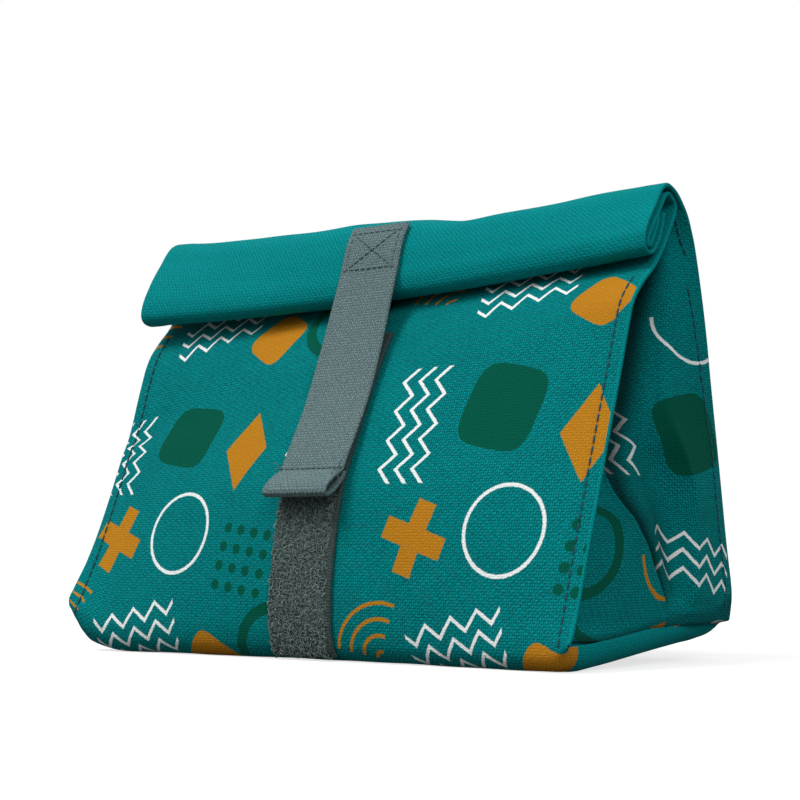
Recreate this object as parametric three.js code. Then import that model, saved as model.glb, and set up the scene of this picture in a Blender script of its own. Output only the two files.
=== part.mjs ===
// A roll-top snack bag of thick cloth: a wedge-shaped body with folded side gussets, its mouth rolled
// forward and down, and a webbing strap that holds the roll shut on a loop tape down the front wall.
// Millimetres. X runs along the bag's width, Y from its front to its back, Z up from the floor.
import * as THREE from 'three';

// The body.
const bagWidth = 208;
const baseDepth = 100;
const baseBend = 9; // radius of the soft bend between the base and a wall
const cornerLift = 7; // the base's side seams stand this far off the floor
const liftReach = 12; // and start to rise this far in from the sides
const liftHeight = 25; // the walls are back in place at this height
const foldHeight = 143; // first fold of the roll
const neckHeight = 33; // from the shoulders up to the first fold
const shoulderHeight = foldHeight - neckHeight; // above it both walls turn in under the roll
const shoulderFront = 11; // front wall at the shoulder, ahead of the middle of the base
const shoulderBack = 29; // back wall at the shoulder, behind the middle of the base
const frontBelly = 8;
const backBelly = 4;
const bellySharpness = 1.6; // the higher, the closer the bellies keep to the walls' middle height
const footPull = 3.5; // the loaded base draws the front wall's foot back this far in the middle
const footPullHeight = 30; // and lets go of it at this height
const clothThickness = 1.2;
const sewnGap = 0.3; // between pieces that are sewn to each other or meet at a fold

// The gussets.
const gussetThickness = 0.9;
const gussetRise = 22; // height in which the fold grows to its full depth
const valleyRatio = 0.38; // how deep the fold's valley lies, for each unit of height above the floor
const valleyShare = 0.4; // where it lies on the way from the front wall to the back wall
const foldLean = 8; // the rear half of the gusset leans forward over the valley, at most this far
const foldLip = 5; // and there stands out this much further from the valley
const foldLipTop = 4; // than higher up
const leanHeight = 47; // where it leans most
const leanReach = 38; // how far above and below that the lean fades
const rearFlankShare = 0.55; // where the rear half starts to fall away into the fold
const rearFlankRatio = 0.5; // how far in it is there at the top, for each unit of the fold's own depth
const rearEdgeShare = 0.83; // where the rear half is still almost flat with the side
const rearEdgeInset = 1.2; // how much further in than its seams it is there
const gussetInset = 1.5; // from the side edge of the walls to the gusset's edge
const gussetEase = 0.7; // room between the gusset's edge and its wall, beyond the sewn gap
const footRounding = 4.5; // how much higher the gusset's lower corners end than its lower edge
const footSharpness = 6; // the higher, the closer to the corners the lower edge starts to rise
const gussetReach = 16; // how far above the shoulders the gusset stays a single fold
const tuckLength = 44; // how far the folded gussets reach in between the plies
const tuckClearance = 0.4;

// The rolled mouth. Angles are how far a stretch has turned from straight up, over the front.
const foldSetback = 11; // the first fold lies this far behind the middle of the base
const mouthGap = 4.2; // between the front and the back ply
const browLength = 20;
const hemClearance = 8; // from the hem to the front ply behind it, at the height of the first fold
const innerClearance = 0.8; // between the brow and the hem inside the roll
const crownTurn = 90;
const browTurn = 161;
const footTurn = 270;
const hemTurn = 341;

// The strap, its tapes and its pull tab.
const webbingWidth = 25;
const webbingThickness = 1.4;
const tapeThickness = 2;
const tapeDrop = 4; // from the shoulders down to the top of the loop tape
const hookThickness = 1.2;
const hookMargin = 0.5; // hook tape inside each edge of the strap
const hookLength = 34;
const hookClearance = 0.4;
const anchorLength = 15;
const anchorStart = 1.6;
const strapDrop = 50; // from the shoulders down to the end of the strap
const strapLeaveDrop = 28; // and down to the height at which the strap's run aims off the belly
const strapEase = 2; // how far off the belly that aim is
const tabLength = 10.5;
const tabDepth = 4.6;
const tabWall = 1;
const tabNeck = 2.5; // from the tab's root to the start of its hole

// Threads.
const threadRadius = 0.4;
const edgeStitchInset = 5.5;
const edgeStitchBottom = 14;
const edgeStitchDrop = 2; // from the shoulders down to the top of the edge stitches
const boxStitchMargin = 2;
const boxStitchWidth = 0.8;
const boxStitchDepth = 0.5;
const tabStitchRise = 2; // above the lower end of the strap

// How finely the curves are stepped.
const wallSteps = 12;
const bendSteps = 4;
const tapeBendSteps = 2; // steps of the front bend that the loop tape follows
const wrapColumnCount = 12;
const tapeColumnCount = 4;
const gussetSteps = 10;
const gussetColumns = 18;
const strapSteps = 14;
const hookSteps = 7;
const stitchPoints = 6;
const threadSteps = 12;
const roundSteps = 6;

const cloth = { color: 0x007f7b, roughness: 0.9 };
const webbing = { color: 0x667070, roughness: 0.8 };
const loopPile = { color: 0x474f4d, roughness: 1 };
const hooks = { color: 0x3f4645, roughness: 0.7 };
const tealThread = { color: 0x0b4550, roughness: 0.8 };
const greyThread = { color: 0x454d4e, roughness: 0.8 };

const halfWidth = bagWidth / 2;
const halfDepth = baseDepth / 2;
const halfCloth = clothThickness / 2;
const plyPitch = mouthGap + clothThickness;
const seamStack = halfCloth + sewnGap + gussetThickness / 2 + gussetEase;
const gussetTop = shoulderHeight + gussetReach;
const tapeTop = shoulderHeight - tapeDrop;
const strapEndHeight = shoulderHeight - strapDrop;
const strapLeaveHeight = shoulderHeight - strapLeaveDrop;
const edgeStitchTop = shoulderHeight - edgeStitchDrop;

const bag = new THREE.Group();
bag.name = 'snack_bag';

function addPiece(name, geometry, finish) {
  const material = new THREE.MeshStandardMaterial({ ...finish, metalness: 0 });
  const piece = new THREE.Mesh(geometry, material);
  piece.name = name;
  bag.add(piece);
}


// A closed sheet of cloth from a grid of points (rows of columns), thickened equally to both sides.
// Its normal is rows x columns.
function clothSheet(grid, thickness) {
  const rows = grid.length;
  const columns = grid[0].length;
  const normals = gridNormals(grid);
  const positions = [];
  for (const side of [1, -1]) {
    for (let r = 0; r < rows; r++) {
      for (let c = 0; c < columns; c++) {
        const point = grid[r][c].clone().addScaledVector(normals[r][c], (side * thickness) / 2);
        positions.push(point.x, point.y, point.z);
      }
    }
  }
  const index = [];
  const quad = (a, b, c, d) => index.push(a, b, c, a, c, d);
  const near = (r, c) => r * columns + c;
  const far = (r, c) => rows * columns + near(r, c);
  for (let r = 0; r + 1 < rows; r++) {
    for (let c = 0; c + 1 < columns; c++) {
      quad(near(r, c), near(r + 1, c), near(r + 1, c + 1), near(r, c + 1));
      quad(far(r, c), far(r, c + 1), far(r + 1, c + 1), far(r + 1, c));
    }
    quad(near(r, 0), far(r, 0), far(r + 1, 0), near(r + 1, 0));
    quad(near(r + 1, columns - 1), far(r + 1, columns - 1), far(r, columns - 1), near(r, columns - 1));
  }
  for (let c = 0; c + 1 < columns; c++) {
    quad(near(0, c + 1), far(0, c + 1), far(0, c), near(0, c));
    quad(near(rows - 1, c), far(rows - 1, c), far(rows - 1, c + 1), near(rows - 1, c + 1));
  }
  const geometry = new THREE.BufferGeometry();
  geometry.setAttribute('position', new THREE.Float32BufferAttribute(positions, 3));
  geometry.setIndex(index);
  return geometry;
}

function gridNormals(grid) {
  const last = grid.length - 1;
  const end = grid[0].length - 1;
  return grid.map((row, r) =>
    row.map((_, c) => {
      const along = grid[Math.min(r + 1, last)][c].clone().sub(grid[Math.max(r - 1, 0)][c]);
      const across = row[Math.min(c + 1, end)].clone().sub(row[Math.max(c - 1, 0)]);
      return along.cross(across).normalize();
    }),
  );
}

function offsetGrid(grid, distance) {
  const normals = gridNormals(grid);
  return grid.map((row, r) => row.map((point, c) => point.clone().addScaledVector(normals[r][c], distance)));
}

// Numbers from first to last, in equal steps.
function steps(first, last, count) {
  return Array.from({ length: count + 1 }, (_, i) => THREE.MathUtils.lerp(first, last, i / count));
}

// The distance of a wall from the middle of the base at a height: straight up to the shoulder,
// then in to its ply at the first fold.
const frontFoldHeight = foldHeight - foldTrim(crownTurn) - halfCloth;
const backFoldHeight = foldHeight - sewnGap - halfCloth;

function frontWall(height) {
  const shoulder = -shoulderFront;
  if (height <= shoulderHeight) {
    return THREE.MathUtils.lerp(-halfDepth, shoulder, height / shoulderHeight);
  }
  const rise = (height - shoulderHeight) / (frontFoldHeight - shoulderHeight);
  return THREE.MathUtils.lerp(shoulder, foldSetback - plyPitch / 2, Math.sin((rise * Math.PI) / 2));
}

function backWall(height) {
  if (height <= shoulderHeight) {
    return THREE.MathUtils.lerp(halfDepth, shoulderBack, height / shoulderHeight);
  }
  const rise = (height - shoulderHeight) / (backFoldHeight - shoulderHeight);
  return THREE.MathUtils.lerp(shoulderBack, foldSetback + plyPitch / 2, 1 - Math.cos((rise * Math.PI) / 2));
}

// How much shorter than its middle line the inner ply of the roll is at a fold of this angle.
function foldTrim(angle) {
  return (plyPitch / 2 + halfCloth) * Math.tan(THREE.MathUtils.degToRad(angle) / 2) + sewnGap;
}

// A point of the flat side profile, moved to where the filled bag's cloth lies at x:
// the walls belly out between the gussets, and the base's ends turn up to their seams.
function drape(x, profile) {
  const share = THREE.MathUtils.clamp(profile.y / shoulderHeight, 0, 1);
  const inFront = profile.x < foldSetback;
  const middle = 1 - (x / halfWidth) ** 2;
  const swell = Math.sin(share * Math.PI) ** bellySharpness * middle;
  const foot = 1 - THREE.MathUtils.smoothstep(profile.y, baseBend, footPullHeight);
  const shift = inFront ? footPull * foot * middle - frontBelly * swell : backBelly * swell;
  const edge = THREE.MathUtils.smoothstep(Math.abs(x), halfWidth - liftReach, halfWidth);
  const low = Math.max(0, 1 - profile.y / liftHeight);
  return new THREE.Vector3(x, profile.x + shift, profile.y + cornerLift * edge * low * low);
}

// The long cloth: down the front wall, under the base and up the back wall.
const floorLine = halfCloth;
const frontLine = steps(frontFoldHeight, baseBend, wallSteps).map((z) => new THREE.Vector2(frontWall(z), z));
const backLine = steps(baseBend, backFoldHeight, wallSteps).map((z) => new THREE.Vector2(backWall(z), z));

function baseCorner(wall, floor) {
  const corner = new THREE.Vector2(wall.x, floorLine);
  return new THREE.QuadraticBezierCurve(wall, corner, floor).getPoints(bendSteps);
}

const frontBend = baseCorner(frontLine.at(-1), new THREE.Vector2(-halfDepth + baseBend, floorLine));
const backBend = baseCorner(backLine[0], new THREE.Vector2(halfDepth - baseBend, floorLine)).reverse();
const sideProfile = [...frontLine.slice(0, -1), ...frontBend, ...backBend, ...backLine.slice(1)];

// Columns lie closer together towards the sides, where the cloth turns up.
const wrapColumns = steps(-1, 1, wrapColumnCount).map((c) => halfWidth * Math.sin((c * Math.PI) / 2));
const wrapGrid = sideProfile.map((point) => wrapColumns.map((x) => drape(x, point)));
addPiece('body_wrap', clothSheet(wrapGrid, clothThickness), cloth);

// A gusset at a height, seen from above, from the front wall to the back wall: how far in from the
// side it lies against its depth. It folds inwards, deeper as the walls close, and where it is slack
// its rear half leans forward over the valley.
const gussetBottom = cornerLift + clothThickness + sewnGap;

function gussetSection(height) {
  const front = frontWall(height) + seamStack;
  const back = backWall(height) - seamStack;
  const growth = THREE.MathUtils.smoothstep(height, gussetBottom, gussetBottom + gussetRise);
  const nearness = THREE.MathUtils.clamp((height - leanHeight) / leanReach, -1, 1);
  const lean = Math.cos((nearness * Math.PI) / 2) * growth;
  const at = (share) => THREE.MathUtils.lerp(front, back, share);
  const valley = gussetInset + valleyRatio * height * growth;
  const fold = Math.max(gussetInset, valley - foldLip * lean - foldLipTop * growth);
  const flank = THREE.MathUtils.lerp(gussetInset, fold, (rearFlankRatio * height) / gussetTop);
  return new THREE.SplineCurve([
    new THREE.Vector2(gussetInset, front),
    new THREE.Vector2((gussetInset + valley) / 2, at(valleyShare / 2)),
    new THREE.Vector2(valley, at(valleyShare)),
    new THREE.Vector2(fold, at(valleyShare) - foldLean * lean),
    new THREE.Vector2(flank, at(rearFlankShare)),
    new THREE.Vector2(gussetInset + rearEdgeInset, at(rearEdgeShare)),
    new THREE.Vector2(gussetInset, back),
  ]);
}

function gussetGrid(side) {
  return steps(0, 1, gussetSteps).map((rise) =>
    steps(0, 1, gussetColumns).map((across) => {
      const roundedFoot = footRounding * Math.abs(2 * across - 1) ** footSharpness;
      const height = THREE.MathUtils.lerp(gussetBottom + roundedFoot, gussetTop, rise);
      const point = gussetSection(height).getPoint(across);
      return new THREE.Vector3(side * (halfWidth - point.x), point.y, height);
    }),
  );
}

for (const [name, side] of [['left', -1], ['right', 1]]) {
  const grid = gussetGrid(side);
  if (side > 0) {
    grid.forEach((row) => row.reverse());
  }
  addPiece(`${name}_gusset`, clothSheet(grid, gussetThickness), cloth);
}

// The roll's middle line, fold by fold, in the side view. A stretch runs from its fold towards the mouth.
const footLength = plyPitch + clothThickness + innerClearance;
const hemLength = browLength - plyPitch - sewnGap;
const browLean = Math.sin(THREE.MathUtils.degToRad(browTurn)) * browLength;
const crownLength = footLength - browLean + plyPitch + clothThickness + hemClearance;

function heading(turn) {
  const angle = THREE.MathUtils.degToRad(turn);
  return new THREE.Vector2(-Math.sin(angle), Math.cos(angle));
}

// The side of a stretch that ends up outside the roll.
function outward(turn) {
  const ahead = heading(turn);
  return new THREE.Vector2(ahead.y, -ahead.x);
}

const stretches = [];
let fold = new THREE.Vector2(foldSetback, foldHeight);
let turnBefore = 0;
for (const [name, turn, length] of [
  ['crown', crownTurn, crownLength],
  ['brow', browTurn, browLength],
  ['foot', footTurn, footLength],
  ['hem', hemTurn, hemLength],
]) {
  stretches.push({ name, fold, turn, turnBefore, length });
  fold = fold.clone().addScaledVector(heading(turn), length);
  turnBefore = turn;
}

// A flat strip in the side view, from one distance along a stretch to another, at an offset outwards.
function strip(stretch, from, to, offset, thickness) {
  const corner = (along, aside) =>
    stretch.fold
      .clone()
      .addScaledVector(heading(stretch.turn), along)
      .addScaledVector(outward(stretch.turn), aside);
  const inner = offset - thickness / 2;
  const outer = offset + thickness / 2;
  return new THREE.Shape([corner(from, inner), corner(to, inner), corner(to, outer), corner(from, outer)]);
}

// A side-view shape carried along the bag's width, from one x to another.
const sideToWorld = new THREE.Matrix4().makeBasis(
  new THREE.Vector3(0, 1, 0),
  new THREE.Vector3(0, 0, 1),
  new THREE.Vector3(1, 0, 0),
);

function acrossBag(shape, fromX, toX) {
  const depth = toX - fromX;
  const options = { depth, bevelEnabled: false, curveSegments: roundSteps };
  const geometry = new THREE.ExtrudeGeometry(shape, options);
  return geometry.translate(0, 0, fromX).applyMatrix4(sideToWorld);
}

// The folded gussets between the plies: a strip at each end of a stretch.
function addTucks(name, shape) {
  const outer = halfWidth - gussetInset;
  addPiece(`${name}_left_tuck`, acrossBag(shape, -outer, tuckLength - outer), cloth);
  addPiece(`${name}_right_tuck`, acrossBag(shape, outer - tuckLength, outer), cloth);
}

const tuckThickness = mouthGap - 2 * tuckClearance;

stretches.forEach((stretch, number) => {
  const { name, length, turn } = stretch;
  const next = stretches[number + 1];
  const startTurn = turn - stretch.turnBefore;
  const endTurn = next ? next.turn - turn : 0;
  const outerEnd = next ? length - sewnGap : length;
  const outerPly = strip(stretch, sewnGap, outerEnd, plyPitch / 2, clothThickness);
  addPiece(`${name}_back_ply`, acrossBag(outerPly, -halfWidth, halfWidth), cloth);

  const innerStart = foldTrim(startTurn);
  const innerEnd = next ? length - foldTrim(endTurn) : length;
  if (name !== 'foot') {
    const innerPly = strip(stretch, innerStart, innerEnd, -plyPitch / 2, clothThickness);
    addPiece(`${name}_front_ply`, acrossBag(innerPly, -halfWidth, halfWidth), cloth);
  }

  const tuckTrim = (angle) => (tuckThickness / 2) * Math.tan(THREE.MathUtils.degToRad(angle) / 2) + sewnGap;
  const tuckEnd = next ? length - tuckTrim(endTurn) : length - sewnGap;
  addTucks(name, strip(stretch, tuckTrim(startTurn), tuckEnd, 0, tuckThickness));

  // The back ply's cloth round the fold that starts the stretch.
  const from = Math.atan2(outward(stretch.turnBefore).y, outward(stretch.turnBefore).x);
  const to = from + THREE.MathUtils.degToRad(startTurn);
  const bend = new THREE.Shape();
  bend.absarc(stretch.fold.x, stretch.fold.y, plyPitch / 2 + halfCloth, from, to, false);
  bend.absarc(stretch.fold.x, stretch.fold.y, plyPitch / 2 - halfCloth, to, from, true);
  addPiece(`${name}_fold`, acrossBag(bend, -halfWidth, halfWidth), cloth);
});

// The folded gussets in the neck, below the first fold.
const neckTrim = tuckThickness / 2 + sewnGap;
const neckBottom = frontFoldHeight - neckTrim;
const neckTuck = new THREE.Shape([
  new THREE.Vector2(foldSetback - tuckThickness / 2, neckBottom),
  new THREE.Vector2(foldSetback + tuckThickness / 2, neckBottom),
  new THREE.Vector2(foldSetback + tuckThickness / 2, foldHeight - neckTrim),
  new THREE.Vector2(foldSetback - tuckThickness / 2, foldHeight - neckTrim),
]);
addTucks('neck', neckTuck);

// The loop tape: on the front wall, from under the roll down to the bend of the base.
const tapeColumns = steps(-webbingWidth / 2, webbingWidth / 2, tapeColumnCount);
const tapeLine = steps(tapeTop, baseBend, wallSteps).map((z) => new THREE.Vector2(frontWall(z), z));
const tapeProfile = [...tapeLine, ...frontBend.slice(1, 1 + tapeBendSteps)];
const tapeSeat = tapeProfile.map((point) => tapeColumns.map((x) => drape(x, point)));
const tapeStack = halfCloth + sewnGap + tapeThickness / 2;
addPiece('loop_tape', clothSheet(offsetGrid(tapeSeat, tapeStack), tapeThickness), loopPile);

// A run of topstitching along each pinched edge, on the outside of its wall.
const threadStack = halfCloth + sewnGap + threadRadius;
const threadSection = new THREE.Shape();
threadSection.absarc(0, 0, threadRadius, 0, 2 * Math.PI, false);

function threadAlong(points) {
  const path = new THREE.CatmullRomCurve3(points);
  const options = { steps: threadSteps, curveSegments: roundSteps, extrudePath: path };
  return new THREE.ExtrudeGeometry(threadSection, options);
}

for (const [wallName, wall, outside] of [['front', frontWall, -1], ['back', backWall, 1]]) {
  for (const [sideName, side] of [['left', -1], ['right', 1]]) {
    const x = side * (halfWidth - edgeStitchInset);
    const points = steps(edgeStitchBottom, edgeStitchTop, stitchPoints).map((z) => {
      const seat = drape(x, new THREE.Vector2(wall(z), z));
      return seat.add(new THREE.Vector3(0, (outside * threadStack) / Math.cos(wallLean(wall)), 0));
    });
    addPiece(`${wallName}_${sideName}_edge_stitch`, threadAlong(points), tealThread);
  }
}

function wallLean(wall) {
  return Math.atan((wall(shoulderHeight) - wall(0)) / shoulderHeight);
}

// The strap's sewn end, flat on the brow of the roll, with its box-and-cross stitch.
const brow = stretches[1];
const webbingSeat = plyPitch / 2 + halfCloth + sewnGap + webbingThickness / 2;
const anchorEnd = anchorStart + anchorLength;
const halfWebbing = webbingWidth / 2;
const anchor = strip(brow, anchorStart, anchorEnd, webbingSeat, webbingThickness);
addPiece('strap_anchor', acrossBag(anchor, -halfWebbing, halfWebbing), webbing);

function boxAndCross(width, height, line) {
  const corners = (halfX, halfY) => [
    new THREE.Vector2(-halfX, -halfY),
    new THREE.Vector2(halfX, -halfY),
    new THREE.Vector2(halfX, halfY),
    new THREE.Vector2(-halfX, halfY),
  ];
  const outline = new THREE.Shape(corners(width / 2, height / 2));
  const inner = corners(width / 2 - line, height / 2 - line);
  const clear = line / 2 / Math.sin(Math.atan2(height, width));
  const rise = line / 2 / Math.cos(Math.atan2(height, width));
  inner.forEach((corner, i) => {
    const next = inner[(i + 1) % inner.length];
    const level = corner.y === next.y;
    const inset = level ? clear : rise;
    const shift = next.clone().sub(corner).normalize().multiplyScalar(inset);
    const aside = level ? 0 : Math.sign(corner.x) * clear;
    const above = level ? Math.sign(corner.y) * rise : 0;
    const centre = new THREE.Vector2(aside, above);
    outline.holes.push(new THREE.Path([corner.clone().add(shift), next.clone().sub(shift), centre]));
  });
  return outline;
}

const boxWidth = webbingWidth - 2 * boxStitchMargin;
const boxHeight = anchorLength - 2 * boxStitchMargin;
const boxStitch = new THREE.ExtrudeGeometry(boxAndCross(boxWidth, boxHeight, boxStitchWidth), {
  depth: boxStitchDepth,
  bevelEnabled: false,
});
const boxSeat = webbingSeat + webbingThickness / 2 + sewnGap;
const boxMiddle = brow.fold
  .clone()
  .addScaledVector(heading(browTurn), anchorStart + anchorLength / 2)
  .addScaledVector(outward(browTurn), boxSeat);
const boxUp = heading(browTurn).negate();
const boxOut = outward(browTurn);
boxStitch.applyMatrix4(
  new THREE.Matrix4()
    .makeBasis(
      new THREE.Vector3(1, 0, 0),
      new THREE.Vector3(0, boxUp.x, boxUp.y),
      new THREE.Vector3(0, boxOut.x, boxOut.y),
    )
    .setPosition(0, boxMiddle.x, boxMiddle.y),
);
addPiece('strap_box_stitch', boxStitch, greyThread);

// The strap's free length: from below the box stitch, clear of the roll, down onto the loop tape.
const hookStack = hookClearance + hookThickness + sewnGap;
const strapStack = tapeStack + tapeThickness / 2 + hookStack + webbingThickness / 2;
const onBelly = (z) => drape(0, new THREE.Vector2(frontWall(z), z)).y - strapStack;
const strapTop = brow.fold
  .clone()
  .addScaledVector(heading(browTurn), anchorEnd + sewnGap)
  .addScaledVector(outward(browTurn), webbingSeat);
const strapEnd = new THREE.Vector2(onBelly(strapEndHeight), strapEndHeight);
const strapAim = new THREE.Vector2(onBelly(strapLeaveHeight) - strapEase, strapLeaveHeight);
const strapRun = new THREE.QuadraticBezierCurve(strapTop, strapAim, strapEnd);

function stripGrid(first, last, count, width) {
  return steps(first, last, count).map((share) => {
    const point = strapRun.getPointAt(share);
    return steps(-width / 2, width / 2, 2).map((x) => new THREE.Vector3(x, point.x, point.y));
  });
}

addPiece('closure_strap', clothSheet(stripGrid(0, 1, strapSteps, webbingWidth), webbingThickness), webbing);
const hookOffset = webbingThickness / 2 + sewnGap + hookThickness / 2;
const hookStart = 1 - hookLength / strapRun.getLength();
const hookSeat = stripGrid(hookStart, 1, hookSteps, webbingWidth - 2 * hookMargin);
addPiece('hook_tape', clothSheet(offsetGrid(hookSeat, -hookOffset), hookThickness), hooks);

// The row of stitches across the strap above the pull tab.
const strapDown = strapRun.getTangent(1);
const strapOut = new THREE.Vector2(strapDown.y, -strapDown.x);
const tabStitchSeat = strapEnd
  .clone()
  .addScaledVector(strapDown, -tabStitchRise)
  .addScaledVector(strapOut, webbingThickness / 2 + sewnGap + threadRadius);
const tabStitch = new THREE.Shape();
tabStitch.absarc(tabStitchSeat.x, tabStitchSeat.y, threadRadius, 0, 2 * Math.PI, false);
addPiece('tab_stitch', acrossBag(tabStitch, -halfWebbing, halfWebbing), greyThread);

// The pull tab: webbing folded back on itself, a drop-shaped loop in the side view.
function drop(length, depth) {
  const shape = new THREE.Shape();
  const bulb = length - depth / 2;
  shape.moveTo(0, 0);
  shape.quadraticCurveTo(depth / 4, bulb / 2, depth / 2, bulb);
  shape.absarc(0, bulb, depth / 2, 0, Math.PI, false);
  shape.quadraticCurveTo(-depth / 4, bulb / 2, 0, 0);
  return shape;
}

const tabShape = drop(tabLength, tabDepth);
const tabHole = drop(tabLength - tabNeck - tabWall, tabDepth - 2 * tabWall);
const belowNeck = new THREE.Vector2(0, tabNeck);
const holePoints = tabHole.getPoints(roundSteps).map((point) => point.add(belowNeck));
tabShape.holes.push(new THREE.Path(holePoints));
const tab = new THREE.ExtrudeGeometry(tabShape, {
  depth: webbingWidth,
  bevelEnabled: false,
  curveSegments: roundSteps,
});
const tabRoot = strapEnd.clone().addScaledVector(strapDown, sewnGap);
tab.translate(0, 0, -halfWebbing).applyMatrix4(
  new THREE.Matrix4()
    .makeBasis(
      new THREE.Vector3(0, strapOut.x, strapOut.y),
      new THREE.Vector3(0, strapDown.x, strapDown.y),
      new THREE.Vector3(1, 0, 0),
    )
    .setPosition(0, tabRoot.x, tabRoot.y),
);
addPiece('pull_tab', tab, webbing);

export default bag;
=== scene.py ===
# %% [markdown]
# # A roll-top snack bag
#
# This lesson dresses a small canvas lunch bag. One long cloth makes the front, the base and the back. Two
# gussets close the sides. The mouth rolls forward in four bends, and a webbing strap, with hook tape
# under it, holds the roll down on a fuzzy loop tape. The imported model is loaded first: it says where each
# moving body and hinge is, and every soft solid in it is then replaced by cloth that is modelled here.

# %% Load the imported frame
import math

import bpy
import numpy as np
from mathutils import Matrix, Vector


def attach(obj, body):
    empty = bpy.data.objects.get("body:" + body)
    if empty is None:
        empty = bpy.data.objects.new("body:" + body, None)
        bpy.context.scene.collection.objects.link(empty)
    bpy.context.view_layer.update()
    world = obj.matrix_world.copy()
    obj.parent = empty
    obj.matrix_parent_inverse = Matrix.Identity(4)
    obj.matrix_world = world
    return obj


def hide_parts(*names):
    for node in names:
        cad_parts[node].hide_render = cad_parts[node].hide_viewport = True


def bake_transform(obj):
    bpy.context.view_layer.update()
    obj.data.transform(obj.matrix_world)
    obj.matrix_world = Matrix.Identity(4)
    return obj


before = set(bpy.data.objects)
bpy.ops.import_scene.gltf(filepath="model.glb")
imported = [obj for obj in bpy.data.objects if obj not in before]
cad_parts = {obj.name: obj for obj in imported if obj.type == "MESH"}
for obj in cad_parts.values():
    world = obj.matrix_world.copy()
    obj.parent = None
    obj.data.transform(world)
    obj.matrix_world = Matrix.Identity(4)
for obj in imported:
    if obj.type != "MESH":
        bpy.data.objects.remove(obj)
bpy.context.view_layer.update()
MM = 0.001

# %% [markdown]
# ## The camera
#
# A camera can be placed by eye, but then some corner of the bag never fits. This view was worked out from
# the 25 mm webbing and the straight edges of the bag: a long lens, close to the floor, to the right of
# the front and tilted slightly up. It is set before anything is made, so that every shape can be judged
# through it.

# %% Camera
EYE = (0.4104, -0.5048, 0.0361)
TILT_UP, TURN_LEFT = 4.33, 38.74
camera = bpy.data.objects.new("camera", bpy.data.cameras.new("camera"))
bpy.context.collection.objects.link(camera)
camera.location = EYE
camera.rotation_euler = (math.radians(90 + TILT_UP), 0, math.radians(TURN_LEFT))
camera.data.lens = 87.0
camera.data.sensor_width = 36.0
camera.data.clip_start = 0.01
camera.data.dof.use_dof = False
bpy.context.scene.camera = camera
print("camera lens", camera.data.lens, "mm")

# %% [markdown]
# ## Curves through points
#
# Cloth bends smoothly, so every profile is a short list of points with a smooth curve through them.
# Blender's own curves could draw it, but a formula also gives any point of the cloth when another piece
# needs it. The tangent at each point comes from its two neighbours, which keeps a change at one place
# from moving the rest.


# %% Curve helpers
def spline(points, knots, at):
    """The smooth curve through points (..., n, d), with a knot per point, at the given parameters."""
    step = np.diff(knots)
    slope = np.diff(points, axis=-2) / step[:, None]
    before, after = step[:-1, None], step[1:, None]
    tangent = np.empty_like(points)
    tangent[..., 1:-1, :] = (slope[..., :-1, :] * after + slope[..., 1:, :] * before) / (before + after)
    tangent[..., 0, :] = slope[..., 0, :]
    tangent[..., -1, :] = slope[..., -1, :]
    k = np.clip(np.searchsorted(knots, at, side="right") - 1, 0, len(step) - 1)
    t = ((at - knots[k]) / step[k])[:, None]
    h = step[k][:, None]
    return ((1 + 2 * t) * (1 - t) ** 2 * points[..., k, :] + t * (1 - t) ** 2 * h * tangent[..., k, :]
            + t * t * (3 - 2 * t) * points[..., k + 1, :] + t * t * (t - 1) * h * tangent[..., k + 1, :])


def chord_knots(points):
    """A knot per point: the length of the polyline up to it."""
    return np.concatenate([[0.0], np.cumsum(np.linalg.norm(np.diff(points, axis=0), axis=1))])


def smoothstep(a, b, x):
    t = np.clip((x - a) / (b - a), 0, 1)
    return t * t * (3 - 2 * t)


def unit(v):
    return v / np.maximum(np.linalg.norm(v, axis=-1, keepdims=True), 1e-9)


print("curve helpers ready")

# %% [markdown]
# ## The long cloth's side profile
#
# A soft bag has no constant section, so one outline pushed across the width would look like a box. The
# profile, depth against height in millimetres, is written at the left edge, the middle and the right
# edge, and the cloth is lofted through the three. Each list runs along the cloth: down the front wall,
# under the base, up the back wall and then forward round the roll to the hem. The front ply of the mouth
# follows the back ply inside the roll, so it is an offset of it and needs no list.

# %% Profiles at the left edge, the middle and the right edge
FRONT = np.array([
    [(13.2, 142.9), (11.8, 137.9), (8.6, 132.4), (5.6, 126), (1.4, 118), (-5.0, 110.7), (-9.7, 104.5),
     (-14.4, 92), (-18.4, 78.5), (-23.2, 67.2), (-29.8, 50.7), (-38.2, 31.3), (-45.4, 15.4), (-48.0, 8.1),
     (-47.4, 4), (-45.0, 1.4), (-40, 0.6)],
    [(12.6, 141.8), (11.4, 137.8), (9.2, 133.4), (7.2, 128.4), (3.8, 122.9), (-2.6, 116.7), (-8.7, 110.5),
     (-16.2, 99.5), (-21.2, 89.5), (-30.3, 71.5), (-38.6, 51.5), (-42.7, 31.3), (-43.7, 15.4),
     (-43.2, 8.1), (-42.0, 4), (-39.6, 1.5), (-35, 0.6)],
    [(14.0, 142.4), (12.9, 138.2), (9.8, 133.4), (6.4, 128), (1.5, 122.2), (-5.3, 116.5), (-10.5, 111),
     (-14.6, 101.5), (-18.2, 90.5), (-24.7, 71.5), (-31.5, 51.5), (-38.3, 31.3), (-43.5, 15.4),
     (-46.0, 8.1), (-46.4, 4), (-44.5, 1.3), (-39, 0.6)],
])
BASE = np.array([
    [(-26, 0.6), (0, 0.6), (24, 0.6), (34, 0.6)],
    [(-22, 0.6), (0, 0.6), (22, 0.6), (34, 0.6)],
    [(-26, 0.6), (0, 0.6), (24, 0.6), (34, 0.6)],
])
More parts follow.
